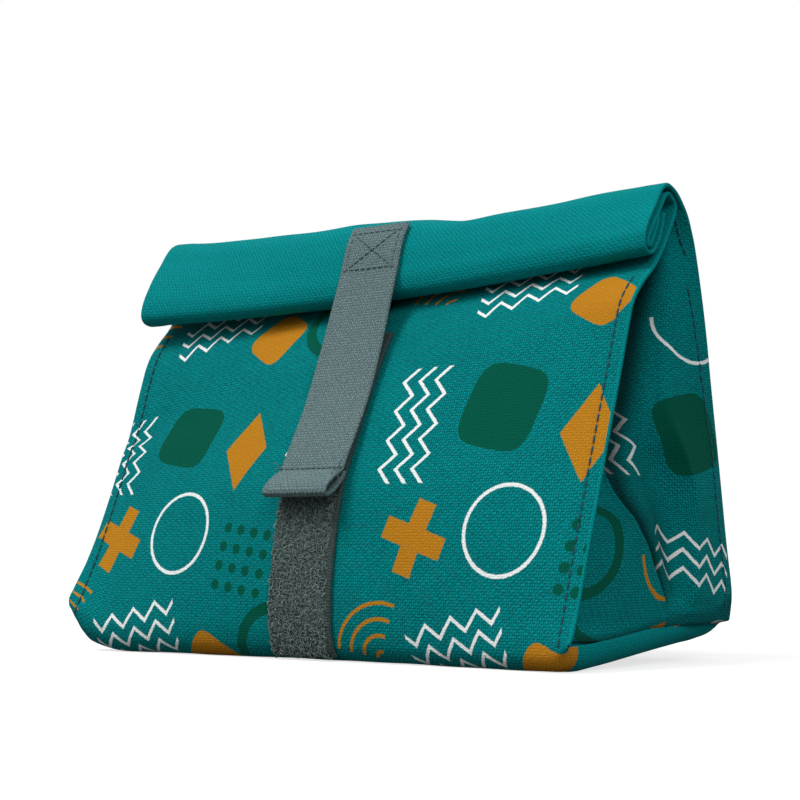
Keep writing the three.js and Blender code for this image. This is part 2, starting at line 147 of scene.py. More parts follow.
BACK = np.array([
    [(40, 1.6), (42.5, 6), (42.2, 15.4), (38.5, 37.4), (34.1, 63.5), (29.6, 89), (26.6, 107.5),
     (25.2, 115), (24.0, 126), (22.4, 134.8), (19.8, 140.8), (15.4, 145.4)],
    [(40.5, 1.4), (45.3, 6), (46.8, 15.4), (45.4, 37.4), (41.2, 63.5), (35.8, 89), (31.6, 107.5),
     (29.6, 115.5), (26.8, 126), (23.2, 135), (19.3, 140.6), (15.2, 143.3)],
    [(40, 1.6), (42.5, 6), (42.2, 15.4), (38.5, 37.4), (34.1, 63.5), (29.6, 89), (26.6, 107.5),
     (25.2, 115), (24.0, 126), (22.6, 134.8), (20.0, 140.5), (15.7, 145.1)],
])
ROLL = np.array([
    [(10, 148.4), (4.8, 148.4), (1.0, 146.9), (-1.5, 144.3), (-4.1, 140.5), (-9.6, 132.2), (-13.6, 123.9),
     (-14.2, 120.2), (-12.8, 118), (-9.6, 117.4), (-6, 118.7), (-3, 124), (1.0, 137.4)],
    [(10.6, 145.4), (5, 145.6), (0, 144.9), (-4.4, 142.5), (-7.8, 136.9), (-10.4, 129), (-11.8, 123),
     (-11.3, 119.8), (-8.6, 118), (-5.2, 118.9), (-2.7, 122.2), (-0.9, 128), (1.0, 137.4)],
    [(12.2, 147.1), (8.8, 147.8), (5.8, 146), (4.2, 144), (2.0, 140.9), (-2.2, 135.2), (-4.5, 130.4),
     (-4.3, 127.2), (-2.8, 125.7), (0.0, 125.8), (2.9, 128.7), (5.5, 133.4), (6.9, 138.9)],
])
N_ROLL, N_FRONT, N_BASE, N_BACK = ROLL.shape[1], FRONT.shape[1], BASE.shape[1], BACK.shape[1]
# How far each point of the profile takes the base's turned-up side edge, and the back's turned-out one.
INTO_BASE, OUT_OF_BASE = [0.0, 0.15, 0.5, 0.9, 1], [0.9, 0.45, 0.1]
UP_THE_BACK = [0.1, 0.55, 0.9, 1, 1, 1, 1, 0.9, 0.5, 0.1, 0, 0]
BASE_SHARE = np.concatenate([np.zeros(N_ROLL + N_FRONT - len(INTO_BASE)), INTO_BASE, np.ones(N_BASE),
                             OUT_OF_BASE, np.zeros(N_BACK - len(OUT_OF_BASE) + N_ROLL)])
BACK_SHARE = np.concatenate([np.zeros(N_ROLL + N_FRONT + N_BASE), UP_THE_BACK, np.zeros(N_ROLL)])
print("profile points:", N_ROLL * 2 + N_FRONT + N_BASE + N_BACK)

# %% [markdown]
# ## Lofting the cloth
#
# Canvas holds its folds and still sags. A cloth simulation would sag too, but not into the folds of this
# bag. The loft blends the three profiles across the width and adds what a flat loft can't have: pinched
# edges in the plane of the front wall, edges of the back wall that turn backwards, a base whose sides
# turn up to the gussets, a front left corner that stands off the floor, a base that rises towards its
# back corners, the dent beside the strap and slight wrinkles.

# %% Profiles across the width
# Thickness of the canvas, distance between the plies of the mouth, and half the width of the cloth.
CLOTH, PLY_PITCH, SPAN = 1.2, 1.8, 106.0
# How much further apart the plies are where a folded gusset lies between them.
TUCK_ROOM = 1.7
# Dents of the roll's top beside the strap, as depth, place across and width. A negative depth is a rise.
DENTS = ((1.7, 31, 11), (1.2, 49, 21), (-0.5, -14, 9))
# How much of them each of the roll's first points takes.
DENT_SHARE = np.array([0.7, 1, 1, 0.7, 0.3])
# How closely the inner ply follows the outer one at each point of the roll.
TIGHT = np.array([1, 1, 1, 1, 1, 1, 0.85, 0.7, 0.7, 0.8, 1, 1, 1])[None, :, None]


def ply_pitch(c):
    """The plies of the mouth lie close, but further apart where a folded gusset is between them."""
    e = np.abs(c)
    return PLY_PITCH + TUCK_ROOM * smoothstep(52, 64, e) * (1 - 0.4 * smoothstep(92, 100, e))


def profiles(c):
    """Profile points (columns, points, 2) at places c across the cloth."""
    t = np.asarray(c, float)[:, None, None] / SPAN
    mix = lambda p: p[0] * t * (t - 1) / 2 + p[1] * (1 - t * t) + p[2] * t * (t + 1) / 2
    roll = mix(ROLL)
    dent = sum(depth * np.exp(-((c - middle) / wide) ** 2) for depth, middle, wide in DENTS)
    roll[:, :len(DENT_SHARE), 1] -= dent[:, None] * DENT_SHARE
    way = unit(np.gradient(roll, axis=1))
    inner = roll + ply_pitch(c)[:, None, None] * TIGHT * np.stack([-way[..., 1], way[..., 0]], -1)
    return np.concatenate([inner[:, ::-1], mix(FRONT), mix(BASE), mix(BACK), roll], axis=1)


KNOTS = chord_knots(profiles(np.array([0.0]))[0])
print("cloth length along the middle: %.0f mm" % KNOTS[-1])

# %% Points of the long cloth
# Where the sides of the base and of the back wall start to turn, and the radius of the turn.
BASE_FLAT, BASE_CURL = 96.0, 5.6
BACK_FLAT, BACK_CURL = 98.0, 5.0
# Half the width of the front wall, and how far the front left corner and the back corners are lifted.
FRONT_HALF, FRONT_LIFT, BACK_LIFT = 104.0, 13.0, 8.0
# The lifts fade out at this height. The front one starts this far left and grows over this width.
LIFT_TOP, LIFT_FROM, LIFT_OVER = 45, 80, 24
# Place, half width and depth of the line of a pinched edge's seam.
SEAM_AT, SEAM_HALF, SEAM_DEPTH = 101.6, 1.3, 0.5


def wrinkle(c, s):
    """Slight unevenness of worn canvas, in millimetres."""
    broad = 0.16 * np.sin(c / 11.0 + s / 17.0 + 0.6) * np.sin(s / 23.0 - c / 31.0)
    fine = 0.10 * np.sin(c / 5.3 - s / 9.7 + 1.9) * np.sin(c / 19.0 + s / 13.0)
    return broad + fine + 0.12 * np.sin(c / 23.0 - s / 6.9)


def wrap_points(c, s):
    """Points (rows, columns, 3) of the cloth's middle surface in millimetres, s along it and c across it."""
    c, s = np.asarray(c, float), np.asarray(s, float)
    yz = spline(profiles(c), KNOTS, s).transpose(1, 0, 2)
    y, z = yz[..., 0].copy(), yz[..., 1].copy()
    base = np.clip(spline(BASE_SHARE[:, None], KNOTS, s), 0, 1)
    back = np.clip(spline(BACK_SHARE[:, None], KNOTS, s), 0, 1)
    e, side = np.abs(c)[None, :], np.sign(c)[None, :]
    turn = np.maximum(e - BASE_FLAT, 0) / BASE_CURL
    lip = np.maximum(e - BACK_FLAT, 0) / BACK_CURL
    wall_x = e * FRONT_HALF / SPAN
    base_x = np.minimum(e, BASE_FLAT) + BASE_CURL * np.sin(turn)
    back_x = np.minimum(e, BACK_FLAT) + BACK_CURL * np.sin(lip)
    x = side * (wall_x * (1 - base - back) + base * base_x + back * back_x)
    y += back * BACK_CURL * (1 - np.cos(lip))
    low = np.clip(1 - z / LIFT_TOP, 0, 1) ** 2
    z += base * BASE_CURL * (1 - np.cos(turn))
    left = np.clip((-x - LIFT_FROM) / LIFT_OVER, 0, 1) ** 2.2
    corner = left * FRONT_LIFT * (1 - smoothstep(-25, 25, y)) * (1 - 0.5 * base)
    rise = BACK_LIFT * smoothstep(25, 110, np.abs(x)) * smoothstep(-40, 48, y)
    z += low * (corner + rise)
    # The seam of a pinched edge draws the front wall in a little beside it.
    seam = np.exp(-((e - SEAM_AT) / SEAM_HALF) ** 2) * (1 - base) * (1 - back)
    below_roll = smoothstep(KNOTS[N_ROLL + 4], KNOTS[N_ROLL + 6], s)
    above_base = 1 - smoothstep(KNOTS[N_ROLL + 12], KNOTS[N_ROLL + 14], s)
    y += SEAM_DEPTH * seam * (below_roll * above_base)[:, None]
    return np.stack([x, y, z], -1)


def surface(c, s, wrinkled=True):
    """Points and outward normals of the long cloth."""
    p = wrap_points(c, s)
    d = 0.05
    along = wrap_points(c, np.minimum(s + d, KNOTS[-1])) - wrap_points(c, np.maximum(s - d, 0))
    across = wrap_points(np.minimum(c + d, SPAN), s) - wrap_points(np.maximum(c - d, -SPAN), s)
    n = unit(np.cross(along, across))
    if wrinkled:
        # The sewn edges are stiff and have no wrinkles.
        edge = 1 - smoothstep(97, 103, np.abs(c))[None, :]
        p = p + n * (wrinkle(c[None, :], s[:, None]) * edge)[..., None]
    # The cloth lies on the floor and never sinks into it.
    p[..., 2] = np.maximum(p[..., 2], CLOTH / 2)
    return p, n


hem = surface(np.array([0.0]), KNOTS[-1:])[0][0, 0]
print("middle of the hem, mm:", hem.round(1))

# %% Rows, columns and cuts
# The knots of the roll where its cloth is cut into pieces: on the crown, on the brow and at the foot.
CUTS = (1.5, 5.0, 8.0)
OUTER = N_ROLL + N_FRONT + N_BASE + N_BACK


def columns():
    """Places across the cloth: 2.4 mm apart, and closer near its edges."""
    left, right = np.arange(-SPAN, -94, 1.0), np.arange(95, SPAN + 0.1, 1.0)
    return np.concatenate([left, np.linspace(-94, 94, 79), right])


def rows(a, b, step=1.9):
    """Even places along the cloth from a to b, about a step apart."""
    return np.linspace(a, b, max(3, int(round((b - a) / step)) + 1))


knot_at = lambda k: float(np.interp(k, np.arange(len(KNOTS)), KNOTS))
OUTER_CUT = [knot_at(OUTER + k) for k in CUTS] + [KNOTS[-1]]
INNER_CUT = [knot_at(N_ROLL - 1 - k) for k in CUTS] + [0.0]
print("from mouth fold to mouth fold: %.0f mm" % (OUTER_CUT[0] - INNER_CUT[0]))

# %% [markdown]
# ## Building a closed sheet
#
# Cloth is thin but never a bare surface. Solidify could thicken one, but its edges would be square and
# its shading would stop at every cut. A sheet here is a grid of middle points with normals; the mesh has
# an outer face, an inner face and rounded long edges, so it is closed. Its UV map is in millimetres along
# and across the cloth, which lets the weave follow every bend. Normals are set from the whole surface, so
# two pieces that meet at a cut shade as one cloth.

# %% Arrays of one sheet
ROUND = np.radians([45, 90, 135])


def sheet_arrays(p, n, uv, thick):
    """Vertices, faces, loop normals, loop UVs and outer-face flags of one closed sheet."""
    r, c = p.shape[:2]
    h = np.broadcast_to(np.asarray(thick, float) / 2, (c,))
    half = h[None, :, None]
    out_a = unit(p[:, -1] - p[:, -2])
    out_b = unit(p[:, 0] - p[:, 1])
    rim_n = lambda m, o: np.stack([m * math.cos(a) + o * math.sin(a) for a in ROUND], 1)
    rim = lambda q, m, o, w: np.stack([q + (m * math.cos(a) + o * math.sin(a)) * w for a in ROUND], 1)
    rim_uv = lambda edge, way, w: edge[:, None] + np.stack([ROUND * way * w, np.zeros(3)], -1)[None]
    rim_a, rim_b = rim(p[:, -1], n[:, -1], out_a, h[-1]), rim(p[:, 0], -n[:, 0], out_b, h[0])
    uv_a, uv_b = rim_uv(uv[:, -1], 1, h[-1]), rim_uv(uv[:, 0], -1, h[0])[:, ::-1]
    ring = np.concatenate([p + n * half, rim_a, (p - n * half)[:, ::-1], rim_b], 1)
    ring_n = np.concatenate([n, rim_n(n[:, -1], out_a), -n[:, ::-1], rim_n(-n[:, 0], out_b)], 1)
    ring_uv = np.concatenate([uv, uv_a, uv[:, ::-1], uv_b], 1)
    m = ring.shape[1]
    i, j = np.meshgrid(np.arange(r - 1), np.arange(m), indexing="ij")
    k = (j + 1) % m
    quads = np.stack([i * m + j, i * m + k, (i + 1) * m + k, (i + 1) * m + j], -1).reshape(-1, 4)
    outer = (j < c - 1).reshape(-1)
    verts = ring.reshape(-1, 3)
    a, b, d = verts[quads[0, 0]], verts[quads[0, 1]], verts[quads[0, 3]]
    flip = np.dot(np.cross(b - a, d - a), ring_n.reshape(-1, 3)[quads[0, 0]]) < 0
    faces = [list(q) for q in (quads[:, ::-1] if flip else quads)]
    normals = ring_n.reshape(-1, 3)
    loop_n = [normals[f] for f in faces]
    loop_uv = [ring_uv.reshape(-1, 2)[f] for f in faces]
    flags = list(outer)
    for row, inward in ((0, 1), (r - 1, -1)):
        start = row * m
        toward = unit((p[row] - p[row + inward]).mean(0))
        caps = []
        for q in range(c - 1):
            caps.append([start + q, start + q + 1, start + 2 * c + 1 - q, start + 2 * c + 2 - q])
        caps.append([start + c - 1 + q for q in range(5)])
        caps.append([start + (2 * c + 2 + q) % m for q in range(4)] + [start])
        for f in caps:
            v = verts[f]
            if np.dot(np.cross(v[1] - v[0], v[2] - v[1]), toward) < 0:
                f = f[::-1]
            faces.append(f)
            loop_n.append(np.repeat(toward[None], len(f), 0))
            loop_uv.append(ring_uv.reshape(-1, 2)[f])
            flags.append(False)
    return verts, faces, loop_n, loop_uv, flags


print("rim steps of a sheet:", len(ROUND))


# %% Objects from sheets
def make_object(name, sheets, outside, inside=None):
    """One mesh object from sheets (points, normals, uv, thickness). Inside is all but the outer face."""
    verts, faces, loop_n, loop_uv, flags, base = [], [], [], [], [], 0
    for p, n, uv, thick in sheets:
        v, f, ln, lu, fl = sheet_arrays(p, n, uv, thick)
        verts.append(v)
        faces += [[q + base for q in face] for face in f]
        loop_n += ln
        loop_uv += lu
        flags += fl
        base += len(v)
    mesh = bpy.data.meshes.new(name)
    mesh.from_pydata((np.concatenate(verts) * MM).tolist(), [], faces)
    layer = mesh.uv_layers.new(name="cloth")
    layer.data.foreach_set("uv", np.concatenate(loop_uv).astype(np.float32).ravel())
    mesh.polygons.foreach_set("use_smooth", np.ones(len(faces), bool))
    mesh.polygons.foreach_set("material_index", np.array([0 if o else 1 for o in flags], np.int32))
    for m in (outside, inside or outside):
        mesh.materials.append(m)
    mesh.normals_split_custom_set(np.concatenate(loop_n).astype(float).tolist())
    mesh.update()
    obj = bpy.data.objects.new(name, mesh)
    bpy.context.collection.objects.link(obj)
    print("%s: %d faces" % (name, len(faces)))
    return obj


def grid_normals(p):
    """Normals of a grid of points from its own differences."""
    return unit(np.cross(np.gradient(p, axis=0), np.gradient(p, axis=1)))


def cloth_uv(c, s):
    """UV of a grid with places c across and s along, in millimetres."""
    return np.stack(np.broadcast_arrays(c[None, :], s[:, None]), -1)


def measured_uv(p):
    """UV of a grid of points: distances across along each row, and along its middle column."""
    steps = np.linalg.norm(np.diff(p, axis=1), axis=2)
    across = np.concatenate([np.zeros((p.shape[0], 1)), np.cumsum(steps, 1)], 1)
    along = chord_knots(p[:, p.shape[1] // 2])
    return np.stack([across, np.repeat(along[:, None], p.shape[1], 1)], -1)


print("mesh builders ready")

# %% [markdown]
# ## Shader sums and the weave
#
# A weave is a sum over the UV map. A picture of cloth could take its place, but it would blur close up
# and show its seams. A small helper writes one Math node per step. The weave is a node group that canvas,
# webbing and tapes share, each with its own thread sizes, and it puts out a height.


# %% Node helpers
def sums(tree):
    """A function that adds one Math node to the tree and returns its result."""
    def add(operation, *values, clamp=False):
        node = tree.nodes.new("ShaderNodeMath")
        node.operation = operation
        node.use_clamp = clamp
        for socket, value in zip(node.inputs, values):
            if isinstance(value, (int, float)):
                socket.default_value = value
            else:
                tree.links.new(value, socket)
        return node.outputs[0]
    return add


def new_group(name, inputs, outputs):
    """A shader group with numbers as inputs and outputs; an input with no value of its own is a vector."""
    tree = bpy.data.node_groups.new(name, "ShaderNodeTree")
    for label, value in inputs.items():
        kind = "NodeSocketVector" if value is None else "NodeSocketFloat"
        socket = tree.interface.new_socket(label, in_out="INPUT", socket_type=kind)
        if value is not None:
            socket.default_value = value
    for label in outputs:
        tree.interface.new_socket(label, in_out="OUTPUT", socket_type="NodeSocketFloat")
    return tree, tree.nodes.new("NodeGroupInput"), tree.nodes.new("NodeGroupOutput")


def wander(tree, where, scale, amount):
    """The given place, moved a little by noise: threads and the edges of ink are never quite straight."""
    soft, moved = tree.nodes.new("ShaderNodeTexNoise"), tree.nodes.new("ShaderNodeVectorMath")
    soft.inputs["Scale"].default_value = scale
    moved.operation = "MULTIPLY_ADD"
    moved.inputs[1].default_value = (amount, amount, 0.0)
    tree.links.new(where, soft.inputs["Vector"])
    tree.links.new(soft.outputs["Color"], moved.inputs[0])
    tree.links.new(where, moved.inputs[2])
    return moved.outputs[0]


print("node helpers ready")


# %% Weave group
def weave_group():
    """A nub at each crossing of threads, over and under in groups. Lean makes one diagonal the stronger."""
    sizes = {"Place": None, "Pitch across": 0.9, "Pitch along": 0.9, "Group": 2.0, "Lean": 0.0}
    tree, inp, out = new_group("thread_weave", sizes, ["Height"])
    m = sums(tree)
    split = tree.nodes.new("ShaderNodeSeparateXYZ")
    tree.links.new(wander(tree, inp.outputs["Place"], 0.7, 0.7), split.inputs[0])
    a = m("DIVIDE", split.outputs[0], inp.outputs["Pitch across"])
    b = m("DIVIDE", split.outputs[1], inp.outputs["Pitch along"])
    fa, fb = m("FLOOR", a), m("FLOOR", b)
    over = m("FLOORED_MODULO", m("ADD", m("FLOOR", m("DIVIDE", a, inp.outputs["Group"])), fb), 2.0)
    hump = lambda x: m("SINE", m("MULTIPLY", m("FRACT", x), math.pi))
    nub = m("POWER", m("MULTIPLY", hump(a), hump(b)), 0.45)
    cell, chance = tree.nodes.new("ShaderNodeCombineXYZ"), tree.nodes.new("ShaderNodeTexWhiteNoise")
    tree.links.new(fa, cell.inputs[0])
    tree.links.new(fb, cell.inputs[1])
    tree.links.new(cell.outputs[0], chance.inputs["Vector"])
    level = m("ADD", m("MULTIPLY_ADD", over, 0.2, 0.5), m("MULTIPLY", chance.outputs["Value"], 0.3))
    slant = m("MULTIPLY", b, m("SIGN", inp.outputs["Lean"]))
    diagonal = m("SINE", m("MULTIPLY", m("ADD", a, slant), math.pi))
    lean = m("MULTIPLY", diagonal, m("MULTIPLY", m("ABSOLUTE", inp.outputs["Lean"]), 0.25))
    tree.links.new(m("ADD", m("MULTIPLY", nub, level), lean), out.inputs["Height"])
    return tree


WEAVE = weave_group()
print("weave group:", len(WEAVE.nodes), "nodes")

# %% [markdown]
# ## A geometric print
#
# The bag has a loose geometric print in ochre, dark green and white on teal. It could be a painted
# picture, but sums stay sharp and each motif can be moved by a number. This print is a design of its own:
# diamonds, rings, zigzags, fans of arcs, dots, crosses and rounded squares, spread over a tile that
# repeats. Each motif is a distance to its outline; where the distance is negative, its mask is one.

# %% Motifs
SPREAD, PRINT_SCALE = 1.16, 1.32
TILE = (118.0 * SPREAD, 104.0 * SPREAD)
# Kind, colour, centre, turn in degrees and size.
MOTIFS = [
    ("zigzag", "White", (16, 20), 90, 15.0), ("square", "Green", (44, 16), 12, 10.5),
    ("diamond", "Ochre", (72, 24), 0, 12.0), ("arcs", "White", (98, 12), -20, 17.0),
    ("cross", "Ochre", (24, 52), 18, 9.0), ("ring", "White", (52, 50), 0, 10.5),
    ("dots", "Green", (80, 58), 8, 12.0), ("diamond", "Green", (106, 50), 14, 13.0),
    ("arcs", "Ochre", (14, 84), 150, 15.0), ("zigzag", "White", (40, 80), -14, 14.0),
    ("square", "Ochre", (68, 88), 32, 7.5), ("ring", "Green", (94, 84), 0, 11.5),
]


def motif(m, kind, ink, x, y, size, half):
    """Distance from a place to the outline of a motif at the origin, negative inside it."""
    ax, ay = m("ABSOLUTE", x), m("ABSOLUTE", y)
    far = m("SQRT", m("ADD", m("MULTIPLY", x, x), m("MULTIPLY", y, y)))
    if kind == "diamond":
        reach = m("ADD", m("DIVIDE", ax, size * 0.62), m("DIVIDE", ay, size))
        return m("MULTIPLY_ADD", reach, size * 0.5, -size * 0.5)
    if kind == "square":
        reach = m("POWER", m("ADD", m("POWER", ax, 4.0), m("POWER", ay, 4.0)), 0.25)
        return m("SUBTRACT", reach, size)
    if kind == "ring":
        line = half if ink == "White" else m("MULTIPLY", half, 3.4)
        return m("SUBTRACT", m("ABSOLUTE", m("SUBTRACT", far, size)), line)
    if kind == "arcs":
        between = m("SUBTRACT", m("FLOORED_MODULO", far, size / 4), size / 8)
        band = m("SUBTRACT", m("ABSOLUTE", between), half)
        fan = m("SUBTRACT", ax, m("MULTIPLY", y, 1.2))
        return m("MAXIMUM", m("MAXIMUM", band, m("SUBTRACT", far, size)), fan)
    if kind == "dots":
        pitch = size / 2.5
        cx = m("SUBTRACT", m("FLOORED_MODULO", x, pitch), pitch / 2)
        cy = m("SUBTRACT", m("FLOORED_MODULO", y, pitch), pitch / 2)
        from_dot = m("SQRT", m("ADD", m("MULTIPLY", cx, cx), m("MULTIPLY", cy, cy)))
        field = m("SUBTRACT", m("MAXIMUM", ax, ay), size * 0.8)
        return m("MAXIMUM", m("SUBTRACT", from_dot, pitch * 0.27), field)
    if kind == "cross":
        arm = size * 0.3
        upright = m("MAXIMUM", m("SUBTRACT", ax, arm), m("SUBTRACT", ay, size))
        level = m("MAXIMUM", m("SUBTRACT", ay, arm), m("SUBTRACT", ax, size))
        return m("MINIMUM", upright, level)
    # A zigzag is three lines of one wave, 6.4 mm apart.
    wave = m("SUBTRACT", y, m("SUBTRACT", m("PINGPONG", x, 5.0), 2.5))
    row = m("SUBTRACT", m("FLOORED_MODULO", m("ADD", wave, 3.2), 6.4), 3.2)
    line = m("SUBTRACT", m("ABSOLUTE", row), m("MULTIPLY", half, 1.3))
    field = m("MAXIMUM", m("SUBTRACT", ax, size), m("SUBTRACT", m("ABSOLUTE", wave), 8.0))
    return m("MAXIMUM", line, field)


print("motifs:", len(MOTIFS))


# %% Print group
def print_group():
    """One mask per ink, from every motif of the tile."""
    inks = ("Ochre", "Green", "White")
    tree, inp, out = new_group("tile_print", {"Place": None, "Line": 1.2, "Softness": 0.28}, inks)
    m = sums(tree)
    split = tree.nodes.new("ShaderNodeSeparateXYZ")
    tree.links.new(inp.outputs["Place"], split.inputs[0])
    half = m("MULTIPLY", inp.outputs["Line"], 0.5)
    masks = dict.fromkeys(inks)
    for kind, ink, centre, turn, size in MOTIFS:
        u, v = (
            m("SUBTRACT", m("FLOORED_MODULO", m("ADD", way, side / 2 - at * SPREAD), side), side / 2)
            for way, at, side in zip(split.outputs, centre, TILE)
        )
        ca, sa = math.cos(math.radians(turn)), math.sin(math.radians(turn))
        x = m("ADD", m("MULTIPLY", u, ca), m("MULTIPLY", v, sa))
        y = m("SUBTRACT", m("MULTIPLY", v, ca), m("MULTIPLY", u, sa))
        distance = motif(m, kind, ink, x, y, size * PRINT_SCALE, half)
        mask = m("SUBTRACT", 0.5, m("DIVIDE", distance, inp.outputs["Softness"]), clamp=True)
        masks[ink] = mask if masks[ink] is None else m("MAXIMUM", masks[ink], mask)
    for ink, mask in masks.items():
        tree.links.new(mask, out.inputs[ink])
    return tree


PRINT = print_group()
print("print group:", len(PRINT.nodes), "nodes")

# %% [markdown]
# ## Materials
#
# Canvas is a coarse weave: its threads stand up a little and the gaps between them are darker. It reads
# two numbers that pieces carry on their vertices: bare, which is 1 where the print has ended towards the
# mouth, and fold, a painted shade, which is 1 where the cloth lies deep in a fold and little light gets
# in, and 0.6 in the groove of the base seam; there the colour is mixed towards near black. The webbing is
# heavier, with nubby rows. The loop tape is a dark knit, and its pile is made later as real loops.
# Pictures of cloth could be laid on instead, but a weave on the UV map keeps its size on every piece.
# Colours are the cloth's own, except that painted shade, so that soft light shows them about as they are
# written.


# %% Material helpers
def colour(r, g, b):
    """Scene colour of an sRGB triple in 0 to 255."""
    lin = lambda v: v / 12.92 if v <= 0.04045 else ((v + 0.055) / 1.055) ** 2.4
    return (lin(r / 255), lin(g / 255), lin(b / 255), 1.0)


def begin(name):
    mat = bpy.data.materials.new(name)
    mat.use_nodes = True
    return mat, mat.node_tree, mat.node_tree.nodes["Principled BSDF"]


def place(tree):
    uv = tree.nodes.new("ShaderNodeUVMap")
    uv.uv_map = "cloth"
    return uv.outputs[0]


def carried(tree, name):
    """A number that the piece carries on its vertices, or 0 where it has none."""
    node = tree.nodes.new("ShaderNodeAttribute")
    node.attribute_name = name
    return node.outputs["Fac"]


def mix_colour(tree, factor, a, b):
    node = tree.nodes.new("ShaderNodeMix")
    node.data_type = "RGBA"
    for socket, value in ((node.inputs[0], factor), (node.inputs[6], a), (node.inputs[7], b)):
        if isinstance(value, (int, float, tuple)):
            socket.default_value = value
        else:
            tree.links.new(value, socket)
    return node.outputs[2]


def noise(tree, vector, scale, detail):
    node = tree.nodes.new("ShaderNodeTexNoise")
    node.inputs["Scale"].default_value = scale
    node.inputs["Detail"].default_value = detail
    tree.links.new(vector, node.inputs["Vector"])
    return node.outputs[0]


def weave_of(tree, where, across, along, group, lean):
    node = tree.nodes.new("ShaderNodeGroup")
    node.node_tree = WEAVE
    tree.links.new(where, node.inputs["Place"])
    node.inputs["Pitch across"].default_value = across
    node.inputs["Pitch along"].default_value = along
    node.inputs["Group"].default_value = group
    node.inputs["Lean"].default_value = lean
    return node.outputs["Height"]


def bump(tree, bsdf, height, distance):
    node = tree.nodes.new("ShaderNodeBump")
    node.inputs["Distance"].default_value = distance
    tree.links.new(height, node.inputs["Height"])
    tree.links.new(node.outputs[0], bsdf.inputs["Normal"])


def finish_with(tree, bsdf, paint, roughness, specular):
    tree.links.new(paint, bsdf.inputs["Base Color"])
    bsdf.inputs["Roughness"].default_value = roughness
    bsdf.inputs["Specular IOR Level"].default_value = specular


print("material helpers ready")

# %% Canvas
# Dark and light of each ink, in the order in which they are laid.
INKS = {
    "Green": (colour(0, 62, 50), colour(0, 92, 72)),
    "Ochre": (colour(128, 82, 12), colour(206, 140, 36)),
    "White": (colour(196, 214, 212), colour(255, 255, 255)),
}


def inked(tree, where, cloth, shade, bare):
    """The inks of the print over the cloth's own colour, as far as the print goes."""
    m = sums(tree)
    node = tree.nodes.new("ShaderNodeGroup")
    node.node_tree = PRINT
    tree.links.new(wander(tree, where, 0.8, 0.5), node.inputs["Place"])
    level = m("MULTIPLY_ADD", shade, 0.4, 0.5, clamp=True)
    kept = m("LESS_THAN", bare, 0.02)
    for name, (dark, light) in INKS.items():
        ink = mix_colour(tree, level, dark, light)
        cloth = mix_colour(tree, m("MULTIPLY", node.outputs[name], kept), cloth, ink)
    return cloth


def canvas(name, printed):
    mat, tree, bsdf = begin(name)
    m = sums(tree)
    where = place(tree)
    height = weave_of(tree, where, 0.83, 0.88, 2.0, 0.5 if printed else -0.9)
    uneven = noise(tree, where, 1.5, 3.0)
    blotch = noise(tree, where, 0.05, 2.0)
    contrast, level = (1.15, -0.55) if printed else (0.6, -0.24)
    threads = m("MULTIPLY_ADD", uneven, 0.7, m("MULTIPLY_ADD", height, contrast, level))
    shade = m("MULTIPLY_ADD", blotch, 0.2, threads, clamp=True)
    dark, light = colour(0, 98, 100), colour(0, 154, 156)
    if printed:
        bare = carried(tree, "bare")
        dark = mix_colour(tree, bare, colour(0, 80, 83), dark)
        light = mix_colour(tree, bare, colour(0, 150, 151), light)
    cloth = mix_colour(tree, shade, dark, light)
    if printed:
        cloth = inked(tree, where, cloth, shade, bare)
    # Painted shade: fold mixes the colour towards near black, in the fold behind a gusset's flap and in the
    # base seam's groove.
    painted_shade = m("MULTIPLY", carried(tree, "fold"), 0.86)
    finish_with(tree, bsdf, mix_colour(tree, painted_shade, cloth, colour(0, 14, 16)), 0.9, 0.06)
    bump(tree, bsdf, m("MULTIPLY_ADD", uneven, 0.5, height), 0.00014)
    return mat


PRINTED = canvas("printed_canvas", True)
PLAIN = canvas("plain_canvas", False)
print("printed canvas:", len(PRINTED.node_tree.nodes), "nodes")


# %% Webbing, tapes and threads
def webbing():
    mat, tree, bsdf = begin("grey_webbing")
    m = sums(tree)
    where = place(tree)
    height = weave_of(tree, where, 0.88, 0.98, 1.0, 0.4)
    uneven = noise(tree, where, 1.7, 3.0)
    shade = m("MULTIPLY_ADD", uneven, 1.2, m("MULTIPLY_ADD", height, 0.8, -0.58), clamp=True)
    finish_with(tree, bsdf, mix_colour(tree, shade, colour(62, 80, 82), colour(132, 156, 158)), 0.85, 0.12)
    bump(tree, bsdf, m("MULTIPLY_ADD", uneven, 0.6, height), 0.0002)
    return mat


def knit(name, dark, light, pitch, depth):
    mat, tree, bsdf = begin(name)
    m = sums(tree)
    where = place(tree)
    height = weave_of(tree, where, pitch, pitch, 1.0, 0.0)
    uneven = noise(tree, where, 1.6, 5.0)
    shade = m("MULTIPLY_ADD", uneven, 1.0, m("MULTIPLY_ADD", height, 0.4, -0.3), clamp=True)
    finish_with(tree, bsdf, mix_colour(tree, shade, dark, light), 0.92, 0.1)
    bump(tree, bsdf, m("MULTIPLY_ADD", uneven, 0.8, height), depth)
    return mat


def thread(name, dark, light):
    """Twisted sewing thread, in object coordinates because a stitch has no cloth to follow."""
    mat, tree, bsdf = begin(name)
    where = tree.nodes.new("ShaderNodeTexCoord").outputs["Object"]
    finish_with(tree, bsdf, mix_colour(tree, noise(tree, where, 900.0, 2.0), dark, light), 0.6, 0.2)
    return mat


WEBBING = webbing()
LOOP_TAPE = knit("loop_tape", colour(40, 52, 51), colour(88, 106, 104), 0.9, 0.0003)
HOOK_TAPE = knit("hook_tape", colour(34, 44, 46), colour(76, 92, 94), 1.4, 0.0005)
FUZZ = thread("loop_pile", colour(50, 64, 62), colour(156, 178, 174))
TEAL_THREAD = thread("teal_thread", colour(6, 52, 62), colour(16, 84, 94))
GREY_THREAD = thread("grey_thread", colour(50, 64, 66), colour(98, 116, 118))
print("materials:", len(bpy.data.materials))
